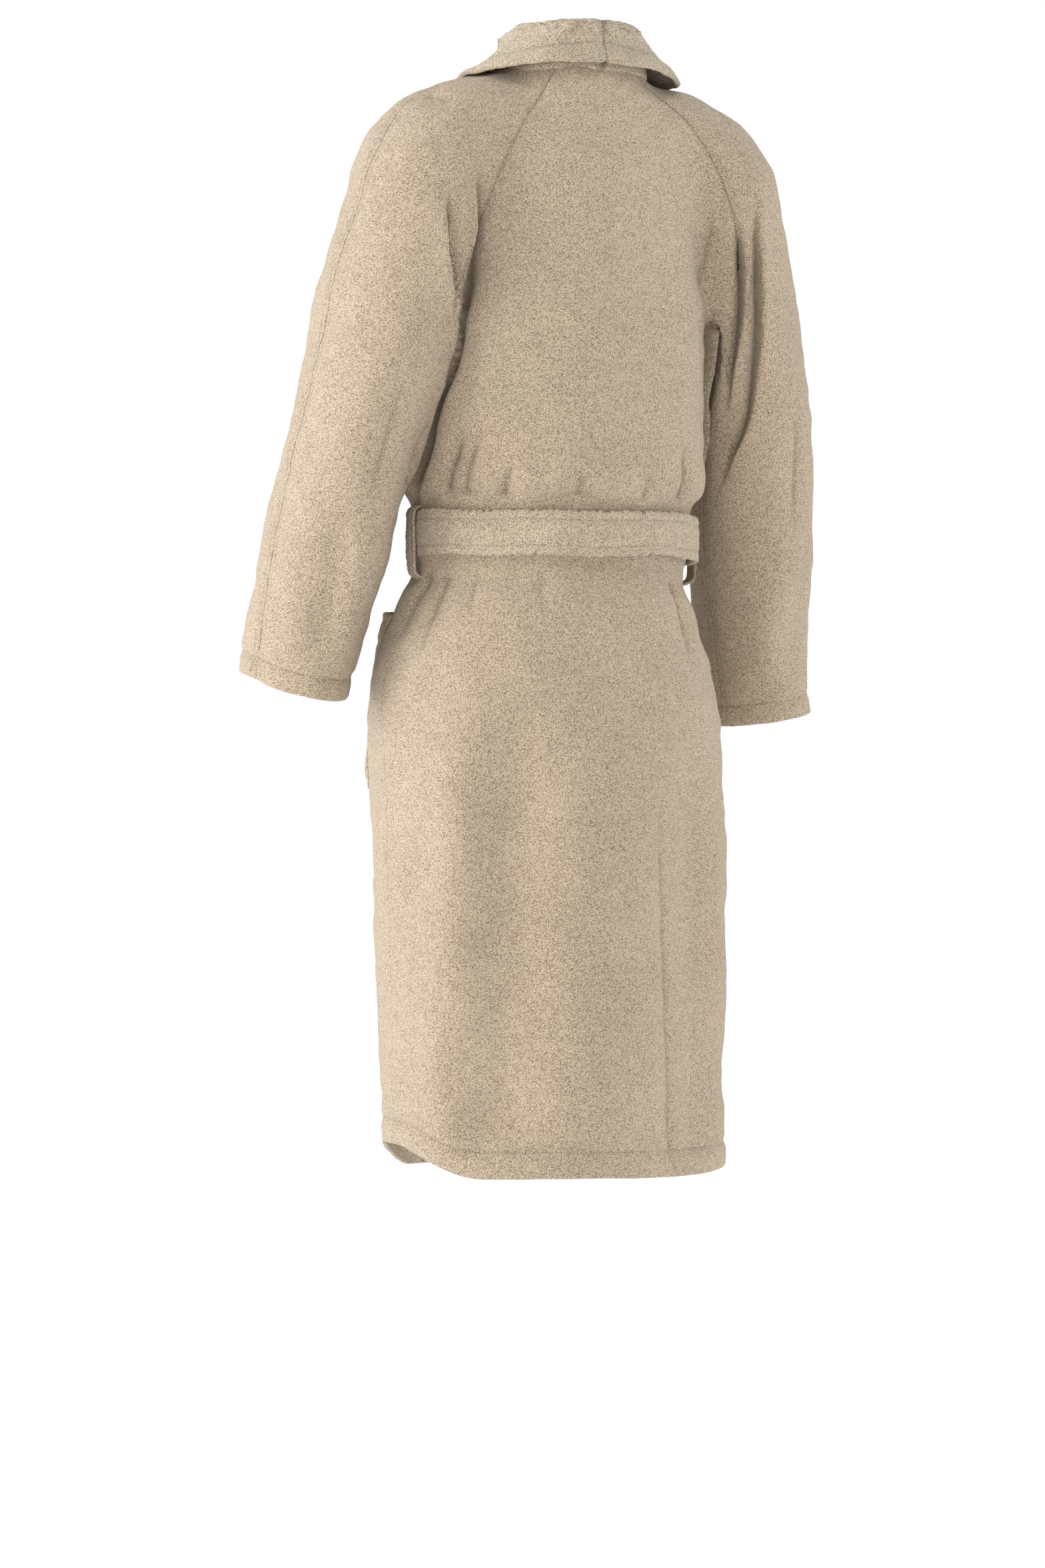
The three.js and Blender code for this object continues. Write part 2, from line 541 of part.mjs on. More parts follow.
// ---- the robe ----
const robe = new THREE.Group();
robe.add(meshOf("back_panel", backPanel, TERRY));
robe.add(meshOf("front_panel_left", leftFront, TERRY));
robe.add(meshOf("front_panel_right", rightFront, TERRY));
for (const [sideName, side] of [["left", 1], ["right", -1]]) {
  for (const [part, shape] of Object.entries(sleevePieces(side))) {
    robe.add(meshOf(`sleeve_${sideName}_${part}`, shape, TERRY));
  }
  const { fall, stand } = collarPieces(side);
  robe.add(meshOf(`collar_fall_${sideName}`, fall, TERRY_LIGHT));
  robe.add(meshOf(`collar_stand_${sideName}`, stand, TERRY_LIGHT));
  robe.add(meshOf(`pocket_${sideName}`, pocket(side), TERRY));
  robe.add(meshOf(`belt_loop_${sideName}`, beltLoop(side), TERRY_LIGHT));
  robe.add(meshOf(`belt_end_${sideName}`, beltEnd(side), TERRY_LIGHT));
}
robe.add(meshOf("belt_band", beltBand, TERRY_LIGHT));
robe.add(meshOf("belt_knot", knot(), TERRY_LIGHT));
robe.add(meshOf("hanging_loop", hanger(), TAPE));
robe.add(meshOf("neck_label", neckLabel, TAPE));
robe.add(meshOf("care_label", careLabel, TAPE));

export default robe;
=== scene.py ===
import math

import bpy
import numpy as np
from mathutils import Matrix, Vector, noise
from mathutils.bvhtree import BVHTree


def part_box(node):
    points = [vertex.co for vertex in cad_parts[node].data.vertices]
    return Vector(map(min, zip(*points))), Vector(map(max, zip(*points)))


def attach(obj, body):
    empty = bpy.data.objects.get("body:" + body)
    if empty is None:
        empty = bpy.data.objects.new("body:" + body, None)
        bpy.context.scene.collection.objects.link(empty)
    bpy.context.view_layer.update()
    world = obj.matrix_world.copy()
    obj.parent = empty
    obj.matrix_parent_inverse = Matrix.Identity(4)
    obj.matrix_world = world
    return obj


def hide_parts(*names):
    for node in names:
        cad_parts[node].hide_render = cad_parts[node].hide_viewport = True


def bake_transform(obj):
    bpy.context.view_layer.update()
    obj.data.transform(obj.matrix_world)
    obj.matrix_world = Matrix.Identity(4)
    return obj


# A worn towelling bathrobe. Metres, +Z up, fronts towards -Y, the wearer's left is +X,
# origin at the nape. Tables of shape are in millimetres and are read through MM.
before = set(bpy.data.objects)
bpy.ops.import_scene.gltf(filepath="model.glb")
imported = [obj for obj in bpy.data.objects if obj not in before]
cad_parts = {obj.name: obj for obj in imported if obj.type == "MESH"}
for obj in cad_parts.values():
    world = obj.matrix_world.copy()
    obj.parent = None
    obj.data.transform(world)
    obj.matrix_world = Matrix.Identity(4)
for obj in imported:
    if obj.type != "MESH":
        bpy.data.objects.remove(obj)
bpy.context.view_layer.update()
MM = 0.001
SIDES = (("left", 1), ("right", -1))

# ---- sizes that the pieces share ----
HEM_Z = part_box("back_panel")[0].z
PLY = 0.005
VOXEL = 0.0038
BELT_LOW, BELT_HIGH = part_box("belt_band")[0].z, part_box("belt_band")[1].z
BELT_Z = (BELT_LOW + BELT_HIGH) / 2
BELT_WIDTH = BELT_HIGH - BELT_LOW
BODY_Y = -0.12
SIDE_SEAM_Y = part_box("back_panel")[0].y
FRONT_TOP_X, FRONT_LOW_X, FRONT_LOW_Z = 0.072, -0.075, -0.453

# Rows of the body: height, centre in Y, half width, half depth.
BODY_ROWS = np.array([
    [-1240, -118, 192, 147], [-1188, -118, 193, 148], [-949, -123, 199, 153],
    [-710, -126, 201, 155], [-640, -125, 193, 149], [-590, -122, 178, 136], [-556, -120, 165, 126],
    [-541, -120, 160, 122], [-459, -120, 160, 122], [-448, -119, 166, 127], [-420, -117, 172, 131],
    [-375, -113, 172, 130], [-262, -106, 175, 129], [-160, -98, 167, 121],
    [-80, -87, 150, 104], [-30, -77, 116, 85], [0, -68, 79, 69], [40, -68, 74, 64],
]) * MM
# Rows of a sleeve, cuff first: X, Y, Z of its centre, half width, half depth.
SLEEVE_ROWS = np.array([
    [290, -187, -705, 56, 71], [283, -182, -672, 57, 72], [268.5, -163, -584.5, 62, 80],
    [254, -143, -497, 66, 88], [239, -126, -393, 67, 90], [214, -108, -280, 70, 91],
    [194, -95, -190, 74, 91], [179, -83, -112, 69, 84], [124, -76, -60, 60, 70],
    [60, -70, -44, 50, 54],
]) * MM
# The raglan seam on each side, as X and Z from the neck down.
RAGLAN_LINES = {
    1: np.array([[45, 20], [45, 6], [62, -22], [84, -53], [102, -84], [118, -122], [131, -160],
                 [143, -200], [158, -245], [170, -290]]) * MM,
    -1: np.array([[45, 20], [45, 6], [74, -15], [105, -41], [130, -72], [148, -102], [164, -140],
                  [172, -176], [176, -230], [178, -290]]) * MM,
}
# Height and Y of the over-arm seam.
OVERARM_LINE = np.array([
    [0, -60], [-50, -60], [-83, -56], [-117, -61], [-151, -70], [-199, -82], [-383, -112],
    [-450, -126], [-518, -135], [-620, -149], [-760, -172],
]) * MM


# ---- small mathematics ----
def smooth(a, b, x):
    t = np.clip((x - a) / (b - a), 0, 1)
    return t * t * (3 - 2 * t)


def through(x, rows):
    """A smooth run through the rows, whose first column is the place, without overshoot."""
    rows = rows[np.argsort(rows[:, 0])]
    xs, ys = rows[:, 0], rows[:, 1:]
    step = np.diff(xs)[:, None]
    slope = np.diff(ys, axis=0) / step
    grade = np.zeros_like(ys)
    a, b = slope[:-1], slope[1:]
    same = a * b > 0
    grade[1:-1] = np.where(same, 2 * a * b / np.where(same, a + b, 1), 0)
    grade[0], grade[-1] = slope[0], slope[-1]
    x = np.clip(np.asarray(x, float), xs[0], xs[-1])
    i = np.clip(np.searchsorted(xs, x) - 1, 0, len(xs) - 2)
    h = (xs[i + 1] - xs[i])[..., None]
    t = ((x - xs[i]) / (xs[i + 1] - xs[i]))[..., None]
    return (
        (1 + 2 * t) * (1 - t) ** 2 * ys[i] + t * (1 - t) ** 2 * h * grade[i]
        + t * t * (3 - 2 * t) * ys[i + 1] + t * t * (t - 1) * h * grade[i + 1]
    )


def resample(points, count):
    """Evenly spaced points on a smooth curve through the given ones."""
    points = np.asarray(points, float)
    along = np.r_[0, np.cumsum(np.linalg.norm(np.diff(points, axis=0), axis=1))]
    rows = np.c_[along, points]
    fine = through(np.linspace(0, along[-1], 8 * count), rows)
    run = np.r_[0, np.cumsum(np.linalg.norm(np.diff(fine, axis=0), axis=1))]
    even = np.linspace(0, run[-1], count)
    return np.stack([np.interp(even, run, fine[:, k]) for k in range(fine.shape[1])], 1)


def unit(v):
    return v / np.maximum(np.linalg.norm(v, axis=-1, keepdims=True), 1e-9)


def waves(points, size, seed, octaves=2):
    """Smooth seeded unevenness, from -1 to 1, with humps about size metres apart."""
    rng = np.random.RandomState(seed)
    total = np.zeros(len(points))
    for octave in range(octaves):
        layer = np.zeros(len(points))
        for _ in range(9):
            way = unit(rng.normal(size=3)) * (2 * math.pi / size) * 2 ** octave
            way *= rng.uniform(0.7, 1.3)
            layer += np.sin(points @ way + rng.uniform(0, 6.28))
        total += layer / 9 ** 0.5 * 0.7 / 2 ** octave
    return total


# ---- meshes as arrays ----
class Cloth:
    """Triangles with named values at their points. Rest is the place before any folds."""

    def __init__(self, points, faces, **values):
        self.points = points
        self.faces = faces
        self.values = values

    def copy(self):
        return Cloth(self.points.copy(), self.faces.copy(), **dict(self.values))

    def cut(self, field):
        """Keeps what has field(points) <= 0, with a clean edge."""
        size = self.values[field] if isinstance(field, str) else field(self.points)
        keep = size <= 0
        inside = keep[self.faces]
        count = inside.sum(1)
        points = {"points": self.points, **self.values}
        new_faces = [self.faces[count == 3]]
        edges, where = [], []
        base = len(self.points)

        def crossing(a, b):
            edges.append(np.stack([a, b], 1))
            where.append(len(a))

        one = self.faces[count == 1]
        turn = inside[count == 1].argmax(1)
        one = np.stack([np.take_along_axis(one, ((turn + k) % 3)[:, None], 1)[:, 0] for k in range(3)], 1)
        two = self.faces[count == 2]
        turn = (~inside[count == 2]).argmax(1)
        two = np.stack([np.take_along_axis(two, ((turn + k) % 3)[:, None], 1)[:, 0] for k in range(3)], 1)
        crossing(one[:, 0], one[:, 1])
        crossing(one[:, 0], one[:, 2])
        crossing(two[:, 1], two[:, 0])
        crossing(two[:, 2], two[:, 0])
        pairs = np.concatenate(edges)
        keys, index = np.unique(np.sort(pairs, 1), axis=0, return_inverse=True)
        index = index.ravel() + base
        a, b = keys[:, 0], keys[:, 1]
        t = (size[a] / (size[a] - size[b]))
        spots = np.cumsum([0] + where)
        c = [index[spots[k]:spots[k + 1]] for k in range(4)]
        new_faces.append(np.stack([one[:, 0], c[0], c[1]], 1))
        new_faces.append(np.stack([two[:, 1], two[:, 2], c[2]], 1))
        new_faces.append(np.stack([two[:, 2], c[3], c[2]], 1))
        faces = np.concatenate(new_faces)
        used, faces = np.unique(faces, return_inverse=True)
        faces = faces.reshape(-1, 3)
        grown = {}
        for name, value in points.items():
            tt = t[:, None] if value.ndim == 2 else t
            grown[name] = np.concatenate([value, value[a] * (1 - tt) + value[b] * tt])[used]
        points = grown.pop("points")
        good = (faces[:, 0] != faces[:, 1]) & (faces[:, 1] != faces[:, 2]) & (faces[:, 0] != faces[:, 2])
        return Cloth(points, faces[good], **grown)

    def normals(self):
        a, b, c = (self.points[self.faces[:, k]] for k in range(3))
        face = np.cross(b - a, c - a)
        total = np.zeros_like(self.points)
        for k in range(3):
            for axis in range(3):
                total[:, axis] += np.bincount(self.faces[:, k], face[:, axis], len(self.points))
        return unit(total)

    def edge_pairs(self):
        f = self.faces
        return np.concatenate([f[:, [0, 1]], f[:, [1, 2]], f[:, [2, 0]]])

    def rim(self):
        """Directed edges that only one face has."""
        pairs = self.edge_pairs()
        keys, index, count = np.unique(np.sort(pairs, 1), axis=0, return_inverse=True, return_counts=True)
        return pairs[count[index.ravel()] == 1]

    def relax(self, amount, rounds):
        """Evens out the points, each by its own amount from 0 to 1."""
        pairs = np.unique(np.sort(self.edge_pairs(), 1), axis=0)
        a = np.r_[pairs[:, 0], pairs[:, 1]]
        b = np.r_[pairs[:, 1], pairs[:, 0]]
        near = np.bincount(a, minlength=len(self.points))
        for _ in range(rounds):
            mean = np.stack([np.bincount(a, self.points[b, k], len(self.points)) for k in range(3)], 1)
            mean /= np.maximum(near, 1)[:, None]
            self.points = self.points + (mean - self.points) * amount[:, None] * 0.6

    def shell(self, thick, bulge=0.5, rolled=None):
        """Gives the sheet a second face inside it and closes the two with a rounded edge."""
        normal = self.normals()
        for _ in range(3):
            normal = unit(normal + 0)
        count = len(self.points)
        rim = self.rim()
        nxt = dict(rim.tolist())
        prv = {b: a for a, b in rim.tolist()}
        edge = np.array(sorted(set(nxt) | set(prv)))
        ahead = np.array([nxt.get(i, i) for i in edge])
        back = np.array([prv.get(i, i) for i in edge])
        along = unit(self.points[ahead] - self.points[back])
        out = unit(np.cross(along, normal[edge]))
        if rolled is not None:
            bulge = np.where(rolled(self.points[edge]), 0.5, 0.0)[:, None]
        inner = self.points - normal * thick
        rows = []
        for depth, reach in ((0.12, 0.7), (0.5, 1.0), (0.88, 0.7)):
            rows.append(self.points[edge] - normal[edge] * thick * depth + out * thick * reach * bulge)
        points = np.concatenate([self.points, inner] + rows)
        slot = np.full(count, -1)
        slot[edge] = np.arange(len(edge))
        levels = [np.arange(count)]
        for k in range(3):
            level = np.full(count, -1)
            level[edge] = 2 * count + k * len(edge) + slot[edge]
            levels.append(level)
        levels.append(np.arange(count) + count)
        faces = [self.faces, self.faces[:, ::-1] + count]
        a, b = rim[:, 0], rim[:, 1]
        for low, high in zip(levels[:-1], levels[1:]):
            faces.append(np.stack([low[b], low[a], high[a]], 1))
            faces.append(np.stack([low[b], high[a], high[b]], 1))
        values = {}
        for name, value in self.values.items():
            values[name] = np.concatenate([value, value] + [value[edge]] * 3)
        return Cloth(points, np.concatenate(faces), **values)


def grid_cloth(points, **values):
    """A sheet from rows and columns of points; its face looks along rows x columns."""
    rows, columns = points.shape[:2]
    index = np.arange(rows * columns).reshape(rows, columns)
    a, b = index[:-1, :-1].ravel(), index[1:, :-1].ravel()
    c, d = index[1:, 1:].ravel(), index[:-1, 1:].ravel()
    faces = np.concatenate([np.stack([a, b, c], 1), np.stack([a, c, d], 1)])
    flat = {name: value.reshape(rows * columns, -1).squeeze(-1) if value.ndim == 2 else
            value.reshape(rows * columns, -1) for name, value in values.items()}
    return Cloth(points.reshape(-1, 3), faces, **flat)


# The last two values are lines of painted shade: the colour darkens along creases and the gap between sleeve and body,
# where shadow would fall.
LINE_NAMES = ("seam", "stitch", "band", "crease", "crease_depth")


def piece(name, cloth, material, soft=True):
    """A Blender piece from arrays, with its seam lines as attributes."""
    mesh = bpy.data.meshes.new(name)
    mesh.vertices.add(len(cloth.points))
    mesh.vertices.foreach_set("co", cloth.points.astype(np.float32).ravel())
    mesh.loops.add(3 * len(cloth.faces))
    mesh.loops.foreach_set("vertex_index", cloth.faces.astype(np.int32).ravel())
    mesh.polygons.add(len(cloth.faces))
    mesh.polygons.foreach_set("loop_start", np.arange(0, 3 * len(cloth.faces), 3, dtype=np.int32))
    mesh.polygons.foreach_set("loop_total", np.full(len(cloth.faces), 3, dtype=np.int32))
    mesh.update(calc_edges=True)
    mesh.validate()
    mesh.polygons.foreach_set("use_smooth", np.ones(len(mesh.polygons), dtype=bool))
    if len(mesh.vertices) == len(cloth.points):
        for line in LINE_NAMES:
            value = cloth.values.get(line)
            # Pieces without these lines get no painted crease shade: the line lies far off and its strength is nothing.
            if value is None:
                value = np.full(len(cloth.points), 0.0 if line == "crease_depth" else 1.0)
            mesh.attributes.new(line, "FLOAT", "POINT").data.foreach_set("value", value.astype(np.float32))
    mesh.materials.append(material)
    obj = bpy.data.objects.new(name, mesh)
    bpy.context.scene.collection.objects.link(obj)
    return obj


# ---- the robe's form ----
def raglan(points, shift=0.0):
    """How far outside the raglan line a point is: the sleeve is positive."""
    lines = [
        np.interp(points[:, 2], RAGLAN_LINES[side][::-1, 1], RAGLAN_LINES[side][::-1, 0])
        for side in (1, -1)
    ]
    return np.abs(points[:, 0]) - np.where(points[:, 0] > 0, lines[0], lines[1]) - shift


def overarm(points):
    """How far behind the over-arm seam a point of the sleeve is."""
    order = np.argsort(OVERARM_LINE[:, 0])
    return points[:, 1] - np.interp(points[:, 2], OVERARM_LINE[order, 0], OVERARM_LINE[order, 1])


def front_edge_x(z):
    slant = FRONT_TOP_X + (FRONT_LOW_X - FRONT_TOP_X) * np.clip(-z / -FRONT_LOW_Z, 0, None)
    return np.where(z > FRONT_LOW_Z, np.minimum(slant, FRONT_TOP_X), FRONT_LOW_X)


def hem_height(points):
    """The hem's line: it lifts a little at the wearer's left and waves."""
    x, y = points[:, 0], points[:, 1]
    lift = 0.030 * smooth(0.13, 0.195, x) * smooth(0.02, -0.10, y)
    return HEM_Z + 0.001 + lift + 0.002 * np.sin(17 * x + 9 * y)


def hip_lean(z):
    return 0.011 * np.exp(-((z + 0.63) / 0.12) ** 2)


def body_grid(around=180):
    z = np.arange(-1.24, 0.0401, 0.006)
    rows = through(z, BODY_ROWS)
    angle = np.linspace(0, 2 * math.pi, around, endpoint=False)
    x = rows[:, 1:2] * np.cos(angle) + hip_lean(z)[:, None]
    y = rows[:, 0:1] + rows[:, 2:3] * np.sin(angle)
    return np.stack([x, y, np.broadcast_to(z[:, None], x.shape)], -1)


def sleeve_centre(side):
    rows = SLEEVE_ROWS.copy()
    z = rows[:, 2]
    if side > 0:
        rows[:, 0] += 0.006 * np.exp(-(((z + 0.56) / 0.12) ** 2))
    else:
        rows[:, 0] += 0.008 * np.exp(-(((z + 0.36) / 0.14) ** 2))
    rows[:, 0] *= side
    return resample(rows, 150)


def sleeve_frames(rows):
    along = unit(np.gradient(rows[:, :3], axis=0))
    y_axis = np.array([0.0, 1.0, 0.0])
    depth = unit(y_axis - along * along[:, 1:2])
    return along, np.cross(depth, along), depth


def sleeve_grid(side, around=110):
    rows = sleeve_centre(side)
    along, across, depth = sleeve_frames(rows)
    angle = np.linspace(0, 2 * math.pi, around, endpoint=False)[None, :, None]
    points = (
        rows[:, None, :3] + across[:, None] * rows[:, None, 3:4] * np.cos(angle)
        + depth[:, None] * rows[:, None, 4:5] * np.sin(angle)
    )
    return beside_body(points, side)


# How near the middle a sleeve may come behind the body's side: height and X, top last.
SLEEVE_INSIDE = {
    1: np.array([[-760, 232], [-690, 214], [-600, 188], [-440, 185], [-400, 178], [-340, 163], [-262, 150],
                 [-180, 110], [-100, 0]]) * MM,
    -1: np.array([[-760, 232], [-690, 214], [-600, 188], [-470, 182], [-400, 170], [-340, 158], [-262, 148],
                  [-180, 110], [-100, 0]]) * MM,
}
SIDE_GAP = 0.0085


def beside_body(points, side):
    """Keeps a hanging sleeve outside the body's side, just clear of it."""
    z = points[..., 2]
    rows = through(z.ravel(), BODY_ROWS).reshape(z.shape + (3,))
    gap = SIDE_GAP * smooth(-0.20, -0.27, z)
    x = side * points[..., 0] - side * hip_lean(z)
    y = points[..., 1] - rows[..., 0]
    size = np.sqrt((x / (rows[..., 1] + gap)) ** 2 + (y / (rows[..., 2] + gap)) ** 2)
    low = smooth(-0.21, -0.27, z)
    grow = np.where(size < 1, 1 / np.maximum(size, 0.5), 1) * low + 1 - low
    line = np.interp(z, SLEEVE_INSIDE[side][:, 0], SLEEVE_INSIDE[side][:, 1])
    x, y = x * grow, y * grow
    x = np.maximum(x, line)
    points[..., 0] = side * (x + side * hip_lean(z))
    points[..., 1] = y + rows[..., 0]
    return points


def closed_tube(grid):
    rows, columns = grid.shape[:2]
    index = np.arange(rows * columns).reshape(rows, columns)
    nxt = np.roll(index, -1, 1)
    quads = np.stack([index[:-1], nxt[:-1], nxt[1:], index[1:]], -1).reshape(-1, 4)
    faces = np.concatenate([quads[:, [0, 1, 2]], quads[:, [0, 2, 3]]])
    low, high = rows * columns, rows * columns + 1
    points = np.concatenate([grid.reshape(-1, 3), grid[:1].mean(1), grid[-1:].mean(1)])
    caps = [np.stack([nxt[0], index[0], np.full(columns, low)], 1)]
    caps.append(np.stack([index[-1], nxt[-1], np.full(columns, high)], 1))
    return points, np.concatenate([faces] + caps)


def remeshed_form():
    """Body and sleeves fused and laid out again in small even faces."""
    parts = [closed_tube(body_grid())] + [closed_tube(sleeve_grid(side)) for _, side in SIDES]
    start, points, faces = 0, [], []
    for part_points, part_faces in parts:
        points.append(part_points)
        faces.append(part_faces + start)
        start += len(part_points)
    mesh = bpy.data.meshes.new("form")
    mesh.from_pydata(np.concatenate(points).tolist(), [], np.concatenate(faces).tolist())
    obj = bpy.data.objects.new("form", mesh)
    bpy.context.scene.collection.objects.link(obj)
    modifier = obj.modifiers.new("even", "REMESH")
    modifier.mode = "VOXEL"
    modifier.voxel_size = VOXEL
    modifier.adaptivity = 0
    graph = bpy.context.evaluated_depsgraph_get()
    even = obj.evaluated_get(graph).to_mesh()
    co = np.empty(3 * len(even.vertices), np.float32)
    even.vertices.foreach_get("co", co)
    even.calc_loop_triangles()
    tri = np.empty(3 * len(even.loop_triangles), np.int32)
    even.loop_triangles.foreach_get("vertices", tri)
    obj.evaluated_get(graph).to_mesh_clear()
    bpy.data.objects.remove(obj)
    bpy.data.meshes.remove(mesh)
    return Cloth(co.reshape(-1, 3).astype(float), tri.reshape(-1, 3))


def prepared_form():
    form = remeshed_form()
    z = form.points[:, 2]
    y = form.points[:, 1]
    shoulder = smooth(-0.23, -0.15, z) * smooth(0.02, -0.02, z)
    behind = smooth(-0.14, -0.06, y)
    form.relax(np.clip(shoulder * (0.55 + 0.45 * behind), 0, 1), 90)
    form.relax(np.full(len(z), 0.8), 2)
    form.values["normal"] = form.normals()
    form.values["arm"] = arm_share(form.points)
    return form


def arm_share(points):
    """Positive on a sleeve, negative on the body: the raglan line above, nearness below."""
    trees = []
    for grid in (body_grid(), *(sleeve_grid(side) for _, side in SIDES)):
        tube_points, tube_faces = closed_tube(grid)
        trees.append(BVHTree.FromPolygons([Vector(p) for p in tube_points.tolist()], tube_faces.tolist()))
    value = raglan(points)
    low = np.flatnonzero((points[:, 2] < -0.19) & (np.abs(points[:, 0]) > 0.09))
    nearness = np.empty(len(low))
    for i, p in enumerate(points[low].tolist()):
        spot = Vector(p)
        sleeve = trees[1] if p[0] > 0 else trees[2]
        nearness[i] = trees[0].find_nearest(spot)[3] - sleeve.find_nearest(spot)[3]
    share = smooth(-0.20, -0.27, points[low, 2])
    value[low] = value[low] * (1 - share) + nearness * share
    value[points[:, 2] < -0.77] = -1
    return value


# ---- folds ----
def fold_distance(points, normals, curve):
    """Signed distance across a curve on the surface, and the run along it from 0 to 1.
    Past the curve's left, seen from outside with the curve running down, it is negative."""
    low, high = curve.min(0) - 0.09, curve.max(0) + 0.09
    near = np.flatnonzero(((points > low) & (points < high)).all(1))
    p = points[near]
    best = np.empty(len(near), int)
    for k in range(0, len(near), 20000):
        gap = ((p[k:k + 20000, None] - curve[None]) ** 2).sum(2)
        best[k:k + 20000] = gap.argmin(1)
    tangent = unit(np.gradient(curve, axis=0))
    off = p - curve[best]
    across = unit(np.cross(normals[near], tangent[best]))
    signed = (off * across).sum(1)
    beyond = (off * tangent[best]).sum(1)
    run = (best + beyond / np.linalg.norm(curve[1] - curve[0])) / (len(curve) - 1)
    away = np.abs((off * normals[near]).sum(1))
    return near, signed, run, away


def valley(d, w):
    return -np.exp(-np.sqrt((d / w) ** 2 + 0.02) + 0.14)


def ridge(d, w):
    return np.exp(-((d / w) ** 2))


def lap(d, w):
    """The left side is raised and drops sharply to a hollow on the right."""
    fold = (0.15 - 0.85 * np.tanh(d / 0.0018)) * np.exp(-np.abs(d) / w)
    return fold - 0.7 * np.exp(-(((d - 0.003) / 0.004) ** 2))


def hollow(d, w):
    return -np.exp(-((d / w) ** 2))


SHAPES = {"valley": valley, "ridge": ridge, "lap": lap, "hollow": hollow}


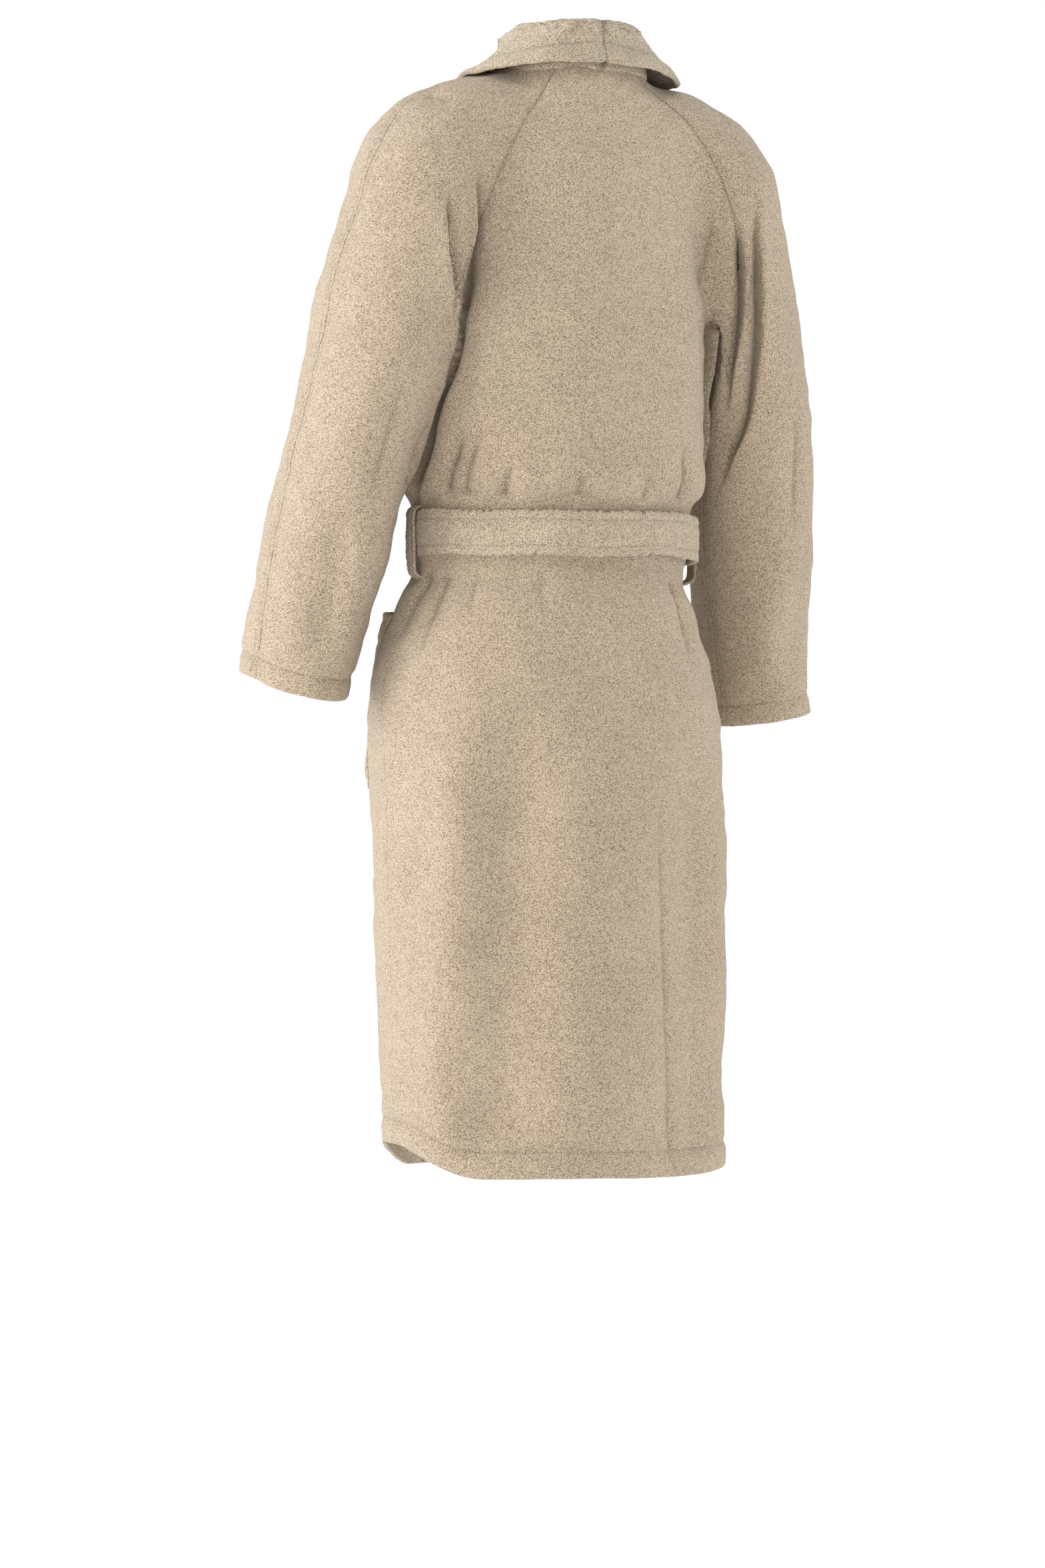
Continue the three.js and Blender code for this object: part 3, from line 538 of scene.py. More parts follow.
# Folds: kind, height and width in mm, fade in and fade out as shares of the run, points in mm.
FOLDS = [
    # the wearer's left armpit: two sharp creases that meet at the belt
    ("lap", 5, 20, 0.3, 0.2, [(142, -10, -115), (140, -17, -145), (137, -25, -181), (140, -31, -205),
                              (150, -42, -272)]),
    ("lap", 6, 14, 0.3, 0.4, [(181, -6, -140), (180, -8, -186), (178, -14, -219), (174, -24, -252),
                              (170, -34, -276)]),
    ("lap", 7, 24, 0.25, 0.15, [(172, -8, -170), (168, -22, -215), (160, -34, -262), (155, -46, -300),
                                (158, -58, -327), (164, -77, -360), (168, -94, -411), (168, -120, -460)]),
    ("ridge", 4, 26, 0.2, 0.3, [(120, -12, -150), (118, -18, -215), (124, -24, -300), (130, -32, -380)]),
    # the wearer's right: the raglan seam runs on as a fold, with a second fold outside it
    ("lap", -5, 20, 0.25, 0.3, [(-172, -6, -150), (-176, -8, -190), (-180, -15, -231), (-186, -50, -324),
                                (-187, -62, -360)]),
    ("lap", -4, 14, 0.3, 0.2, [(-194, -6, -119), (-194, -6, -189), (-201, -20, -286),
                               (-203, -42, -360), (-195, -73, -412), (-191, -97, -446)]),
    ("valley", 4, 12, 0.4, 0.4, [(-146, -22, -130), (-143, -24, -190), (-140, -24, -250)]),
    ("ridge", 3, 30, 0.3, 0.3, [(-100, -8, -200), (-100, -10, -280), (-104, -14, -400)]),
    # across the shoulders
    ("valley", 2, 12, 0.3, 0.4, [(182, -54, -40), (172, -35, -42), (156, -23, -48)]),
    ("hollow", 5, 46, 0.4, 0.4, [(90, -8, -70), (80, -4, -150), (72, -8, -260)]),
    ("hollow", 4, 50, 0.4, 0.4, [(-60, 0, -100), (-70, 2, -200), (-60, -6, -320)]),
    ("ridge", 4, 40, 0.4, 0.4, [(20, 5, -200), (10, 4, -320), (16, 2, -430)]),
    # above the belt
    ("valley", 6, 9, 0.5, 0.1, [(139, -44, -380), (149, -60, -430), (154, -72, -458)]),
    ("valley", 5, 9, 0.5, 0.1, [(120, -38, -385), (130, -52, -435), (134, -58, -458)]),
    ("valley", 4, 8, 0.5, 0.1, [(92, -24, -420), (96, -30, -440), (98, -34, -458)]),
    ("valley", 3, 8, 0.5, 0.1, [(30, -4, -425), (28, -5, -440), (28, -6, -458)]),
    ("valley", 3, 8, 0.5, 0.1, [(-48, -4, -420), (-50, -6, -440), (-50, -8, -458)]),
    ("valley", 5, 9, 0.5, 0.1, [(-98, -22, -390), (-104, -32, -430), (-108, -38, -458)]),
    # below the belt
    ("valley", 4, 9, 0.05, 0.6, [(160, -96, -540), (166, -102, -570), (172, -108, -620)]),
    ("valley", 4, 8, 0.05, 0.7, [(148, -72, -541), (154, -74, -580), (164, -78, -640)]),
    ("valley", 2, 8, 0.05, 0.7, [(128, -44, -541), (133, -40, -575), (138, -36, -600)]),
    ("valley", 1.5, 8, 0.05, 0.8, [(66, -12, -541), (68, -6, -575), (70, -2, -595)]),
    ("valley", 4, 9, 0.05, 0.6, [(-106, -33, -541), (-112, -26, -590), (-120, -20, -660)]),
    ("valley", 3, 9, 0.05, 0.7, [(-140, -70, -541), (-148, -62, -590), (-160, -52, -650)]),
    # the skirt's broad folds
    ("ridge", 9, 34, 0.3, 0.1, [(140, -24, -620), (148, -28, -713), (158, -30, -855), (166, -40, -997),
                                (168, -46, -1185)]),
    ("hollow", 7, 40, 0.3, 0.1, [(92, 0, -640), (100, 8, -760), (106, 4, -900), (110, 0, -1050),
                                 (112, -4, -1185)]),
    ("ridge", 4, 50, 0.3, 0.1, [(30, 22, -640), (24, 28, -800), (20, 24, -1000), (20, 20, -1185)]),
    ("hollow", 6, 36, 0.3, 0.1, [(-96, -6, -680), (-104, 2, -800), (-108, 0, -1000), (-108, -6, -1185)]),
    ("valley", 3, 10, 0.3, 0.1, [(-58, 26, -768), (-66, 22, -900), (-75, 16, -1110), (-76, 14, -1185)]),
    ("ridge", 2, 30, 0.3, 0.1, [(-140, -40, -690), (-142, -38, -850), (-140, -38, -1185)]),
    # the fronts
    ("valley", 6, 10, 0.5, 0.1, [(60, -236, -380), (56, -238, -430), (50, -238, -458)]),
    ("valley", 5, 10, 0.5, 0.1, [(110, -212, -380), (104, -212, -430), (100, -212, -458)]),
    ("valley", 6, 10, 0.5, 0.1, [(-60, -232, -390), (-56, -234, -430), (-50, -236, -458)]),
    ("valley", 5, 10, 0.5, 0.1, [(-118, -206, -390), (-112, -206, -430), (-108, -208, -458)]),
    ("valley", 6, 10, 0.05, 0.6, [(62, -232, -541), (64, -250, -600), (66, -266, -680)]),
    ("valley", 5, 10, 0.05, 0.6, [(-30, -240, -541), (-32, -258, -600), (-34, -276, -680)]),
    ("ridge", 7, 40, 0.3, 0.1, [(20, -272, -720), (22, -272, -900), (26, -266, -1185)]),
    ("hollow", 6, 38, 0.3, 0.1, [(96, -258, -800), (98, -256, -950), (98, -250, -1185)]),
    ("hollow", 6, 38, 0.3, 0.1, [(-96, -258, -800), (-98, -256, -950), (-98, -250, -1185)]),
    ("ridge", 5, 30, 0.3, 0.2, [(150, -196, -640), (156, -200, -800), (150, -200, -1185)]),
    ("ridge", 5, 30, 0.3, 0.2, [(-150, -196, -640), (-156, -200, -800), (-150, -200, -1185)]),
    # the sleeves
    ("valley", 4, 16, 0.4, 0.4, [(216, -24, -330), (232, -34, -400), (252, -50, -470)]),
    ("hollow", 7, 24, 0.4, 0.3, [(268, -62, -420), (276, -80, -540), (290, -104, -650)]),
    ("ridge", 5, 22, 0.4, 0.3, [(238, -58, -480), (252, -76, -580), (262, -104, -660)]),
    ("valley", 4, 14, 0.4, 0.4, [(-250, -36, -330), (-262, -58, -420), (-262, -80, -500)]),
    ("hollow", 6, 24, 0.4, 0.3, [(-276, -70, -440), (-284, -92, -560), (-294, -116, -660)]),
    ("ridge", 5, 22, 0.4, 0.3, [(-240, -66, -500), (-250, -90, -600), (-258, -110, -670)]),
    ("valley", 4, 14, 0.4, 0.4, [(300, -150, -330), (296, -190, -400), (270, -222, -470)]),
    ("valley", 4, 14, 0.4, 0.4, [(-300, -150, -340), (-296, -190, -410), (-270, -222, -480)]),
]


FOLD_DEPTH = {"lap": 2.1, "valley": 2.0, "ridge": 1.5, "hollow": 1.5}


def fold_height(points, normals, arm):
    """How far each point of the form moves along its normal, with the lines of painted crease shade: the signed
    distance to the nearest and how dark it is there.
    """
    total = np.zeros(len(points))
    crease, depth = np.ones(len(points)), np.zeros(len(points))
    for kind, height, width, fade_in, fade_out, curve in FOLDS:
        curve = resample(np.array(curve) * MM, 60)
        near, signed, run, away = fold_distance(points, normals, curve)
        fade = smooth(-0.02, fade_in, run) * smooth(1.02, 1 - fade_out, run)
        move = FOLD_DEPTH[kind] * abs(height) * MM * fade * SHAPES[kind](signed * (1 if height > 0 else -1), width * MM)
        reach = smooth(0.088, 0.05, np.abs(signed)) * smooth(0.06, 0.04, away)
        total[near] += move * reach
        # Laps and valleys also lay a line of painted shade, darkening the towelling's colour along the crease where
        # real shadow would fall.
        if kind in ("lap", "valley"):
            line = signed - (0.0015 * np.sign(height) if kind == "lap" else 0)
            closer = (np.abs(line) < np.abs(crease[near])) & (away < 0.06)
            here = near[closer]
            crease[here] = line[closer]
            shade_strength = {"lap": 1.0, "valley": 0.075 * height}[kind]
            depth[here] = (shade_strength * fade * smooth(0.009, 0.005, np.abs(line)))[closer]
    x, y, z = points.T
    # Painted shade along the gap where a hanging sleeve meets the body's side, standing in for the contact shadow
    # there.
    gap = smooth(-0.24, -0.28, z) * smooth(-0.56, -0.50, z)
    closer = (np.abs(arm) < np.abs(crease)) & (gap > 0)
    crease = np.where(closer, arm, crease)
    depth = np.where(closer, gap * 0.8, depth)
    sleeve = arm > 0
    total += 0.0022 * waves(points, 0.16, 3) + 0.0010 * waves(points, 0.05, 4)
    # cloth pushed up over the belt, and pulled in along it
    angle = np.arctan2(y - BODY_Y, x)
    tucks = np.sin(23 * angle + 1.3 * np.sin(5 * angle)) * (0.6 + 0.4 * np.sin(7 * angle + 1))
    body = ~sleeve
    above = np.exp(-np.clip(z - BELT_HIGH, 0, None) / 0.035) * smooth(-0.50, -0.485, z)
    below = np.exp(-np.clip(BELT_LOW - z, 0, None) / 0.045) * smooth(-0.50, -0.515, z)
    total += body * tucks * (0.0016 * above + 0.0009 * below)
    bulge = np.exp(-(((z + 0.440) / 0.022) ** 2))
    total += body * 0.006 * bulge
    held = body * np.exp(-(((z - BELT_Z + 0.008) / 0.038) ** 6))
    room = body * smooth(-0.512, -0.532, z) * smooth(-0.575, -0.545, z)
    return total * (1 - held) - 0.0015 * held - 0.0035 * room, crease, depth


def seam_reach(field, points, normals):
    """Distance on the surface to the line where field is zero, signed."""
    step = 0.0008
    here = field(points)
    grade = np.stack([
        (field(points + step * np.eye(3)[k]) - field(points - step * np.eye(3)[k])) / (2 * step)
        for k in range(3)
    ], 1)
    grade -= normals * (grade * normals).sum(1)[:, None]
    return here / np.clip(np.linalg.norm(grade, axis=1), 0.25, None)


def shape_panel(cloth, seams=(), stitches=(), bands=(), sink=0.0, extra=None):
    """Lays the folds, sewn lines and bands on a panel cut from the form."""
    rest = cloth.points
    normal = unit(cloth.values["normal"])
    move, crease, depth = fold_height(rest, normal, cloth.values["arm"])
    # The crease lines carry painted shade on to the material.
    lines = {"crease": crease, "crease_depth": depth}
    for name, fields in (("seam", seams), ("stitch", stitches), ("band", bands)):
        value = np.full(len(rest), 1.0)
        for field, shift in fields:
            signed = seam_reach(field, rest, normal) - shift
            if field is raglan:
                signed = np.where(rest[:, 2] > -0.275, signed, 1.0)
            value = np.where(np.abs(signed) < np.abs(value), signed, value)
        lines[name] = value
    move -= 0.0018 * np.exp(-((lines["seam"] / 0.004) ** 2))
    move -= 0.0014 * np.exp(-((lines["stitch"] / 0.0035) ** 2))
    move -= 0.0016 * np.exp(-((lines["band"] / 0.004) ** 2))
    if extra is not None:
        move += extra(rest, lines)
    cloth.points = rest + normal * (move - sink)[:, None]
    cloth.values = {"rest": rest, **lines}
    return cloth


# ---- materials ----
class Value:
    """A number that a node gives, with ordinary arithmetic on it."""

    def __init__(self, finish, socket):
        self.finish = finish
        self.socket = socket

    def maths(self, operation, *others):
        return self.finish.node("ShaderNodeMath", {"operation": operation}, others)

    def __add__(self, other):
        return self.maths("ADD", self, other)

    def __radd__(self, other):
        return self.maths("ADD", other, self)

    def __sub__(self, other):
        return self.maths("SUBTRACT", self, other)

    def __rsub__(self, other):
        return self.maths("SUBTRACT", other, self)

    def __mul__(self, other):
        return self.maths("MULTIPLY", self, other)

    def __rmul__(self, other):
        return self.maths("MULTIPLY", other, self)

    def __truediv__(self, other):
        return self.maths("DIVIDE", self, other)

    def __pow__(self, other):
        return self.maths("POWER", self, other)

    def __abs__(self):
        return self.maths("ABSOLUTE", self)

    def least(self, other):
        return self.maths("MINIMUM", self, other)

    def most(self, other):
        return self.maths("MAXIMUM", self, other)

    def between(self):
        return self.least(1).most(0)


class Finish:
    """A material that is put together from nodes."""

    def __init__(self, name):
        self.material = bpy.data.materials.new(name)
        self.material.use_nodes = True
        self.tree = self.material.node_tree
        self.tree.nodes.clear()
        self.place = self.node("ShaderNodeTexCoord", {}, {}, "Object")

    def node(self, kind, settings, inputs, output=0):
        new = self.tree.nodes.new(kind)
        for name, value in settings.items():
            if name == "stops":
                for stop, (spot, colour) in zip(new.color_ramp.elements, value):
                    stop.position = spot
                    stop.color = colour
            else:
                setattr(new, name, value)
        pairs = inputs.items() if isinstance(inputs, dict) else enumerate(inputs)
        for key, value in pairs:
            if isinstance(value, Value):
                self.tree.links.new(value.socket, new.inputs[key])
            else:
                new.inputs[key].default_value = value
        return Value(self, new.outputs[output])

    def noise(self, scale, detail=2.0, rough=0.5):
        return self.node("ShaderNodeTexNoise", {"normalize": True},
                         {"Vector": self.place, "Scale": scale, "Detail": detail, "Roughness": rough})

    def cells(self, scale, vector=None):
        return self.node("ShaderNodeTexVoronoi", {"feature": "F1"},
                         {"Vector": vector or self.place, "Scale": scale, "Randomness": 1.0})

    def line(self, name, half):
        """One on a sewn line, falling to nothing half metres off it."""
        off = abs(self.node("ShaderNodeAttribute", {"attribute_name": name}, {}, "Fac"))
        return (1 - off / half).between()

    def mix(self, share, a, b):
        return self.node("ShaderNodeMix", {"data_type": "RGBA"},
                         {0: share, 6: a, 7: b}, 2)

    def done(self, colour, rough, height, depth, sheen):
        bump = self.node("ShaderNodeBump", {}, {"Height": height, "Strength": 1.0, "Distance": depth}, "Normal")
        shader = self.node("ShaderNodeBsdfPrincipled", {}, {
            "Base Color": colour, "Roughness": rough, "Normal": bump,
            "Sheen Weight": sheen, "Sheen Roughness": 0.6, "Specular IOR Level": 0.15,
        }, "BSDF")
        out = self.tree.nodes.new("ShaderNodeOutputMaterial")
        self.tree.links.new(shader.socket, out.inputs["Surface"])
        return self.material


def terry(name, colour):
    """Looped towelling: small curled loops with dark pits between them, and painted shade darkening the colour along
    creases.
    """
    f = Finish(name)
    drift = f.node("ShaderNodeVectorMath", {"operation": "SCALE"},
                   {0: f.node("ShaderNodeTexNoise", {}, {"Vector": f.place, "Scale": 600.0, "Detail": 1.0}, "Color"),
                    "Scale": 0.0010})
    bent = f.node("ShaderNodeVectorMath", {"operation": "ADD"}, [f.place, drift])
    loops = (1 - f.cells(830.0, bent) * 1.3).between()
    clumps = (1 - f.cells(430.0, bent) * 1.1).between()
    curl = f.noise(1700.0, 1.0)
    patch = f.noise(160.0, 2.0, 0.6)
    broad = f.noise(9.0, 2.0)
    pile = (loops * 0.75 + clumps * 0.2 + curl * 0.45 - 0.12 + (patch - 0.5) * 0.22).between()
    seam = f.line("seam", 0.0030)
    stitch = f.line("stitch", 0.0020)
    band = f.line("band", 0.0022)
    # Painted shade: the colour darkens along the crease lines and the sleeve-body gap, standing in for the shadow in
    # them; the same line also dents the bump.
    crease = f.line("crease", 0.0046) * f.node("ShaderNodeAttribute", {"attribute_name": "crease_depth"}, {}, "Fac")
    groove = (seam * 0.5).most(stitch * 0.45).most(band * 0.5)
    dark = tuple(c * k for c, k in zip(colour, (0.36, 0.33, 0.28))) + (1,)
    light = tuple(min(1, c * k) for c, k in zip(colour, (1.24, 1.24, 1.25))) + (1,)
    # The crease term here darkens the colour as painted shade.
    shade = (pile * 1.55 - 0.22 + (broad - 0.5) * 0.2 - groove * 0.3 - crease * 0.95).between()
    tone = f.mix(shade, dark, light)
    height = pile + (patch - 0.5) * 0.5 - groove * 1.2 - crease * 1.5
    return f.done(tone, 0.92, height, 0.0011, 0.25)


def tape(name, colour, fine=1400.0):
    """A narrow woven tape with a flat rib."""
    f = Finish(name)
    wave = f.node("ShaderNodeTexWave", {"bands_direction": "Z"},
                  {"Vector": f.place, "Scale": fine / 6.28, "Distortion": 0.6, "Detail": 1.0})
    cross = f.node("ShaderNodeTexWave", {"bands_direction": "X"},
                   {"Vector": f.place, "Scale": fine / 6.28, "Distortion": 0.6, "Detail": 1.0})
    weave = wave * 0.5 + cross * 0.5
    dark = tuple(c * 0.7 for c in colour) + (1,)
    tone = f.mix(weave * 0.7 + f.noise(60.0) * 0.3, dark, colour + (1,))
    return f.done(tone, 0.75, weave, 0.0004, 0.1)


def srgb(r, g, b):
    return tuple(((c / 255 + 0.055) / 1.055) ** 2.4 for c in (r, g, b))


BODY_TERRY = terry("towelling of the body", srgb(200, 182, 157))
COLLAR_TERRY = terry("towelling of the collar", srgb(206, 190, 166))
BELT_TERRY = terry("towelling of the belt", srgb(205, 188, 164))
LOOP_TAPE = tape("tape of the hanging loop", srgb(205, 190, 165))
LABEL_TAPE = tape("satin of the labels", srgb(232, 224, 208), 2600.0)


def finish_piece(obj, body, nodes):
    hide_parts(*nodes)
    if body:
        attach(obj, body)
    return obj


# ---- body panels ----
FORM = prepared_form()


def behind_side(points):
    return SIDE_SEAM_Y - points[:, 1]


def above_hem(points):
    return hem_height(points) - points[:, 2]


def below_neck(points):
    return points[:, 2] - 0.002 - 0.006 * smooth(-0.09, -0.06, points[:, 1])


def hem_extra(rest, lines):
    """The turned-up hem stands a little fuller than the cloth above it."""
    up = rest[:, 2] - hem_height(rest)
    return 0.0012 * smooth(0.028, 0.018, up)


def make_back():
    cloth = FORM.cut(behind_side).cut("arm").cut(above_hem).cut(below_neck)
    cloth = shape_panel(cloth, seams=[(raglan, 0)], stitches=[],
                        bands=[(lambda p: p[:, 2] - hem_height(p), 0.026)], extra=hem_extra)
    cloth = cloth.shell(PLY, rolled=lambda p: p[:, 2] < HEM_Z + 0.03)
    obj = piece("back", cloth, BODY_TERRY)
    return finish_piece(obj, "robe", ["back_panel"])


BACK = make_back()


def make_front(side_name, side):
    def past_edge(points):
        """Positive beyond this front's own edge."""
        return front_edge_x(points[:, 2]) - side * points[:, 0]

    def own_edge(points):
        return side * points[:, 0] - front_edge_x(points[:, 2])

    cloth = FORM.cut(lambda p: -behind_side(p)).cut("arm").cut(above_hem).cut(below_neck).cut(past_edge)
    under = None
    if side < 0:
        def under(rest, lines):
            """The right front lies under the left one."""
            beneath = rest[:, 0] - front_edge_x(rest[:, 2])
            return -0.0065 * smooth(-0.016, -0.001, beneath)
    extra = (lambda rest, lines: hem_extra(rest, lines) + under(rest, lines)) if under else hem_extra
    cloth = shape_panel(
        cloth, seams=[(raglan, 0)], stitches=[],
        bands=[(lambda p: p[:, 2] - hem_height(p), 0.026), (own_edge, 0.026)], extra=extra,
    )
    cloth = cloth.shell(PLY, rolled=lambda p: (p[:, 2] < HEM_Z + 0.03) | (p[:, 1] < -0.2))
    obj = piece("front_" + side_name, cloth, BODY_TERRY)
    return finish_piece(obj, "robe", ["front_panel_" + side_name])


FRONTS = {name: make_front(name, side) for name, side in SIDES}

def sleeve_only(form):
    turned = Cloth(form.points, form.faces, **{**form.values, "body": -form.values["arm"]})
    return turned.cut("body")


CUFF_SHIFT = {"left": 0.012, "right": -0.014}


def make_sleeve(side_name, side, half):
    rows = sleeve_centre(side)
    along, _, _ = sleeve_frames(rows)
    want = SLEEVE_ROWS[1, :3] * np.array([side, 1, 1])
    first = np.linalg.norm(rows[:, :3] - want, axis=1).argmin()
    way = along[first]
    spot = rows[first, :3] + way * CUFF_SHIFT[side_name]

    def past_cuff(points):
        dip = 0.004 * np.sin(34 * points[:, 1] + 1.5 * side)
        return (spot - points) @ way + dip * (points[:, 2] < -0.5)

    def own_side(points):
        return -side * points[:, 0]

    def wrong_half(points):
        return overarm(points) * (1 if half == "front" else -1)

    cloth = sleeve_only(FORM).cut(own_side).cut(past_cuff).cut(wrong_half).cut(below_neck)
    toward = -0.007 if half == "front" else 0.007
    cloth = shape_panel(
        cloth, seams=[(raglan, 0), (overarm, 0)], stitches=[(overarm, toward)],
        bands=[(lambda p: -past_cuff(p), 0.021)],
        extra=lambda rest, lines: 0.0012 * smooth(0.022, 0.012, -past_cuff(rest)),
    )
    cloth = cloth.shell(PLY, rolled=lambda p: np.abs(past_cuff(p)) < 0.03)
    obj = piece(f"sleeve_{side_name}_{half}", cloth, BODY_TERRY)
    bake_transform(obj)
    nodes = [f"sleeve_{side_name}_head_{half}", f"sleeve_{side_name}_arm_{half}"]
    return finish_piece(obj, None, nodes)


SLEEVES = [make_sleeve(name, side, half) for name, side in SIDES for half in ("back", "front")]


# ---- the folded skin of the robe, for pieces that lie on it ----
def make_skin():
    moved = FORM.points + FORM.values["normal"] * fold_height(FORM.points, FORM.values["normal"], FORM.values["arm"])[0][:, None]
    return BVHTree.FromPolygons([Vector(p) for p in moved.tolist()], FORM.faces.tolist())


SKIN = make_skin()


def skin_y(x, z):
    """Y of the robe's front face straight behind a point in front of it."""
    hit = SKIN.ray_cast(Vector((x, -0.6, z)), Vector((0, 1, 0)))[0]
    return hit.y if hit else -0.1


def held_off(points, gap):
    """Pushes points out until each is its gap off the skin."""
    flat = points.reshape(-1, 3)
    gaps = np.broadcast_to(gap, points.shape[:-1]).ravel()
    for i, p in enumerate(flat):
        spot, normal, _, _ = SKIN.find_nearest(Vector(p))
        away = (Vector(p) - spot).dot(normal)
        if away < gaps[i]:
            flat[i] = p + np.array(normal) * (gaps[i] - away)
    return flat.reshape(points.shape)


def strap(path, face, width, thick, columns=21, stitch_in=None, fuzz=0.0005, crown=0.0008, seed=1):
    """A flat strip of folded cloth along a path; face looks out of it, width can run along it."""
    path, face = np.asarray(path, float), unit(np.asarray(face, float))
    tangent = unit(np.gradient(path, axis=0))
    face = unit(face - tangent * (face * tangent).sum(1)[:, None])
    across = np.cross(face, tangent)
    width = np.broadcast_to(width, (len(path),))
    share = np.linspace(-0.5, 0.5, columns)
    off = width[:, None] * share
    points = path[:, None] + across[:, None] * off[..., None]
    edge = width[:, None] / 2 - np.abs(off)
    lift = crown * (1 - (2 * share) ** 4)[None] * np.ones_like(off)
    values = {"seam": np.ones_like(off), "stitch": np.ones_like(off), "band": np.ones_like(off)}
    if stitch_in:
        values["stitch"] = edge - stitch_in
        lift -= 0.0012 * np.exp(-((values["stitch"] / 0.0022) ** 2))
    flat = points.reshape(-1, 3)
    lift += 0.0006 * waves(flat, 0.05, seed).reshape(off.shape)
    rough = fuzz * waves(flat, 0.006, seed + 7).reshape(off.shape) * smooth(0.005, 0, edge)
    points += across[:, None] * (rough * np.sign(share)[None])[..., None]
    points += face[:, None] * (lift + rough * 0.5)[..., None]
    return grid_cloth(points, **values).shell(thick)


def make_belt():
    angle = np.linspace(-math.pi / 2 + 0.10, 1.5 * math.pi - 0.10, 560)
    out = np.stack([np.cos(angle), np.sin(angle), np.zeros_like(angle)], 1)
    size = np.array([0.167, 0.129])
    path = np.stack([size[0] * np.cos(angle), BODY_Y + size[1] * np.sin(angle),
                     BELT_Z + 0.0015 * np.sin(3 * angle + 1) + 0.001 * np.sin(7 * angle)], 1)
    face = out / np.array([size[0], size[1], 1])
    width = BELT_WIDTH * (1 + 0.015 * np.sin(9 * angle) - 0.12 * smooth(0.35, 0.0, np.abs(np.sin(angle / 2 + math.pi / 4))))
    cloth = strap(path, face, width, 0.0055, 23, 0.008, 0.0009, 0.001, 11)
    obj = piece("belt", cloth, BELT_TERRY)
    return finish_piece(obj, "belt", ["belt_band"])


def make_loop(side_name, side):
    path = [(157, -463), (166, -465.5), (171.5, -470), (173, -480), (173, -506), (173, -530),
            (171.5, -538), (166, -543), (157, -546)]
    xz = resample(np.array(path, float), 70) * MM
    path = np.stack([side * xz[:, 0], np.full(70, BODY_Y), xz[:, 1]], 1)
    turn = np.gradient(xz, axis=0)
    face = np.stack([-side * turn[:, 1], np.zeros(70), turn[:, 0]], 1)
    cloth = strap(path, face, 0.0175, 0.0032, 11, 0.004, 0.0006, 0.0006, 21 + side)
    obj = piece("loop_strap_" + side_name, cloth, BELT_TERRY)
    return finish_piece(obj, "robe", ["belt_loop_" + side_name])


def make_belt_end(side_name, side):
    rows = np.array([(25, -270.5, -519), (25, -276, -545), (26, -293, -620), (27, -296, -710), (25, -295, -800), (26, -296, -903)])
    path = resample(rows, 190) * MM
    path[:, 1] += 0.0012 * np.sin(path[:, 2] * 42 + side)
    path[:, 0] *= side
    face = np.broadcast_to([0.0, -1.0, 0.0], path.shape) + np.stack(
        [0.10 * np.sin(path[:, 2] * 18 + side), path[:, 0] * 0, path[:, 0] * 0], 1)
    width = BELT_WIDTH * (1 - 0.35 * smooth(-0.56, -0.52, path[:, 2]))
    cloth = strap(path, face, width, 0.0055, 23, 0.008, 0.0008, 0.001, 31 + side)
    obj = piece("tie_end_" + side_name, cloth, BELT_TERRY)
    return finish_piece(obj, f"belt_end_{side_name}_hang", ["belt_end_" + side_name])


def make_knot():
    """The tied knot: the two sides of the belt gather in behind one turn that wraps them."""
    sweeps = []

    def sweep(rows, seed):
        rows = np.array(rows, float)
        rows[:, :5] = rows[:, :5]
        line = resample(rows, 60)
        centre, wide, thick, tip = line[:, :3] * MM, line[:, 3] * MM, line[:, 4] * MM, line[:, 5:8]
        tangent = unit(np.gradient(centre, axis=0))
        face = unit(tip - tangent * (tip * tangent).sum(1)[:, None])
        across = np.cross(face, tangent)
        turn = np.linspace(0, 2 * math.pi, 36, endpoint=False)[None, :, None]
        c, s = np.cos(turn), np.sin(turn)
        ring = across[:, None] * wide[:, None, None] * np.sign(c) * np.abs(c) ** 0.7
        ring = ring + face[:, None] * thick[:, None, None] * np.sign(s) * np.abs(s) ** 0.8
        sweeps.append(closed_tube(centre[:, None] + ring))

    # centre x, y, z, half width, half thickness, facing
    for s in (1, -1):
        sweep([(46 * s, -246, -497, 20, 4, 0.25 * s, -1, 0), (34 * s, -252, -497, 17, 6, 0.2 * s, -1, 0),
               (20 * s, -259, -496, 13, 9, 0.1 * s, -1, 0), (4 * s, -262, -496, 11, 9, 0, -1, 0)], 1)
        sweep([(6 * s, -262, -503, 12, 7, 0, -1, 0), (15 * s, -266, -510, 15, 6, 0, -1, 0),
               (22 * s, -268.5, -519, 18, 4.5, 0, -1, 0), (25 * s, -271, -527, 20, 3.2, 0, -1, 0)], 2)
    sweep([(-8, -246, -478, 15, 4, 0, 0.3, 1), (-9, -256, -465, 16, 4, -0.1, -0.3, 1),
           (-8, -270, -463.5, 17, 4.5, -0.1, -1, 0.6), (-4, -281, -474, 18, 4.5, 0, -1, 0.2),
           (2, -284, -494, 18, 4.5, 0, -1, 0), (8, -281, -513, 17, 4.5, 0, -1, -0.3),
           (11, -272, -523, 16, 4.5, 0, -0.8, -1), (12, -260, -522, 15, 4, 0, 0, -1)], 3)
    start, points, faces = 0, [], []
    for part_points, part_faces in sweeps:
        points.append(part_points)
        faces.append(part_faces + start)
        start += len(part_points)
    cloth = evened(np.concatenate(points), np.concatenate(faces), 0.0022)
    cloth.relax(np.full(len(cloth.points), 0.5), 2)
    normal = cloth.normals()
    cloth.points = cloth.points + normal * (0.0006 * waves(cloth.points, 0.016, 5))[:, None]
    obj = piece("belt_knot_wrap", cloth, BELT_TERRY)
    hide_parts("belt_knot")
    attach(obj, "belt")
    return obj


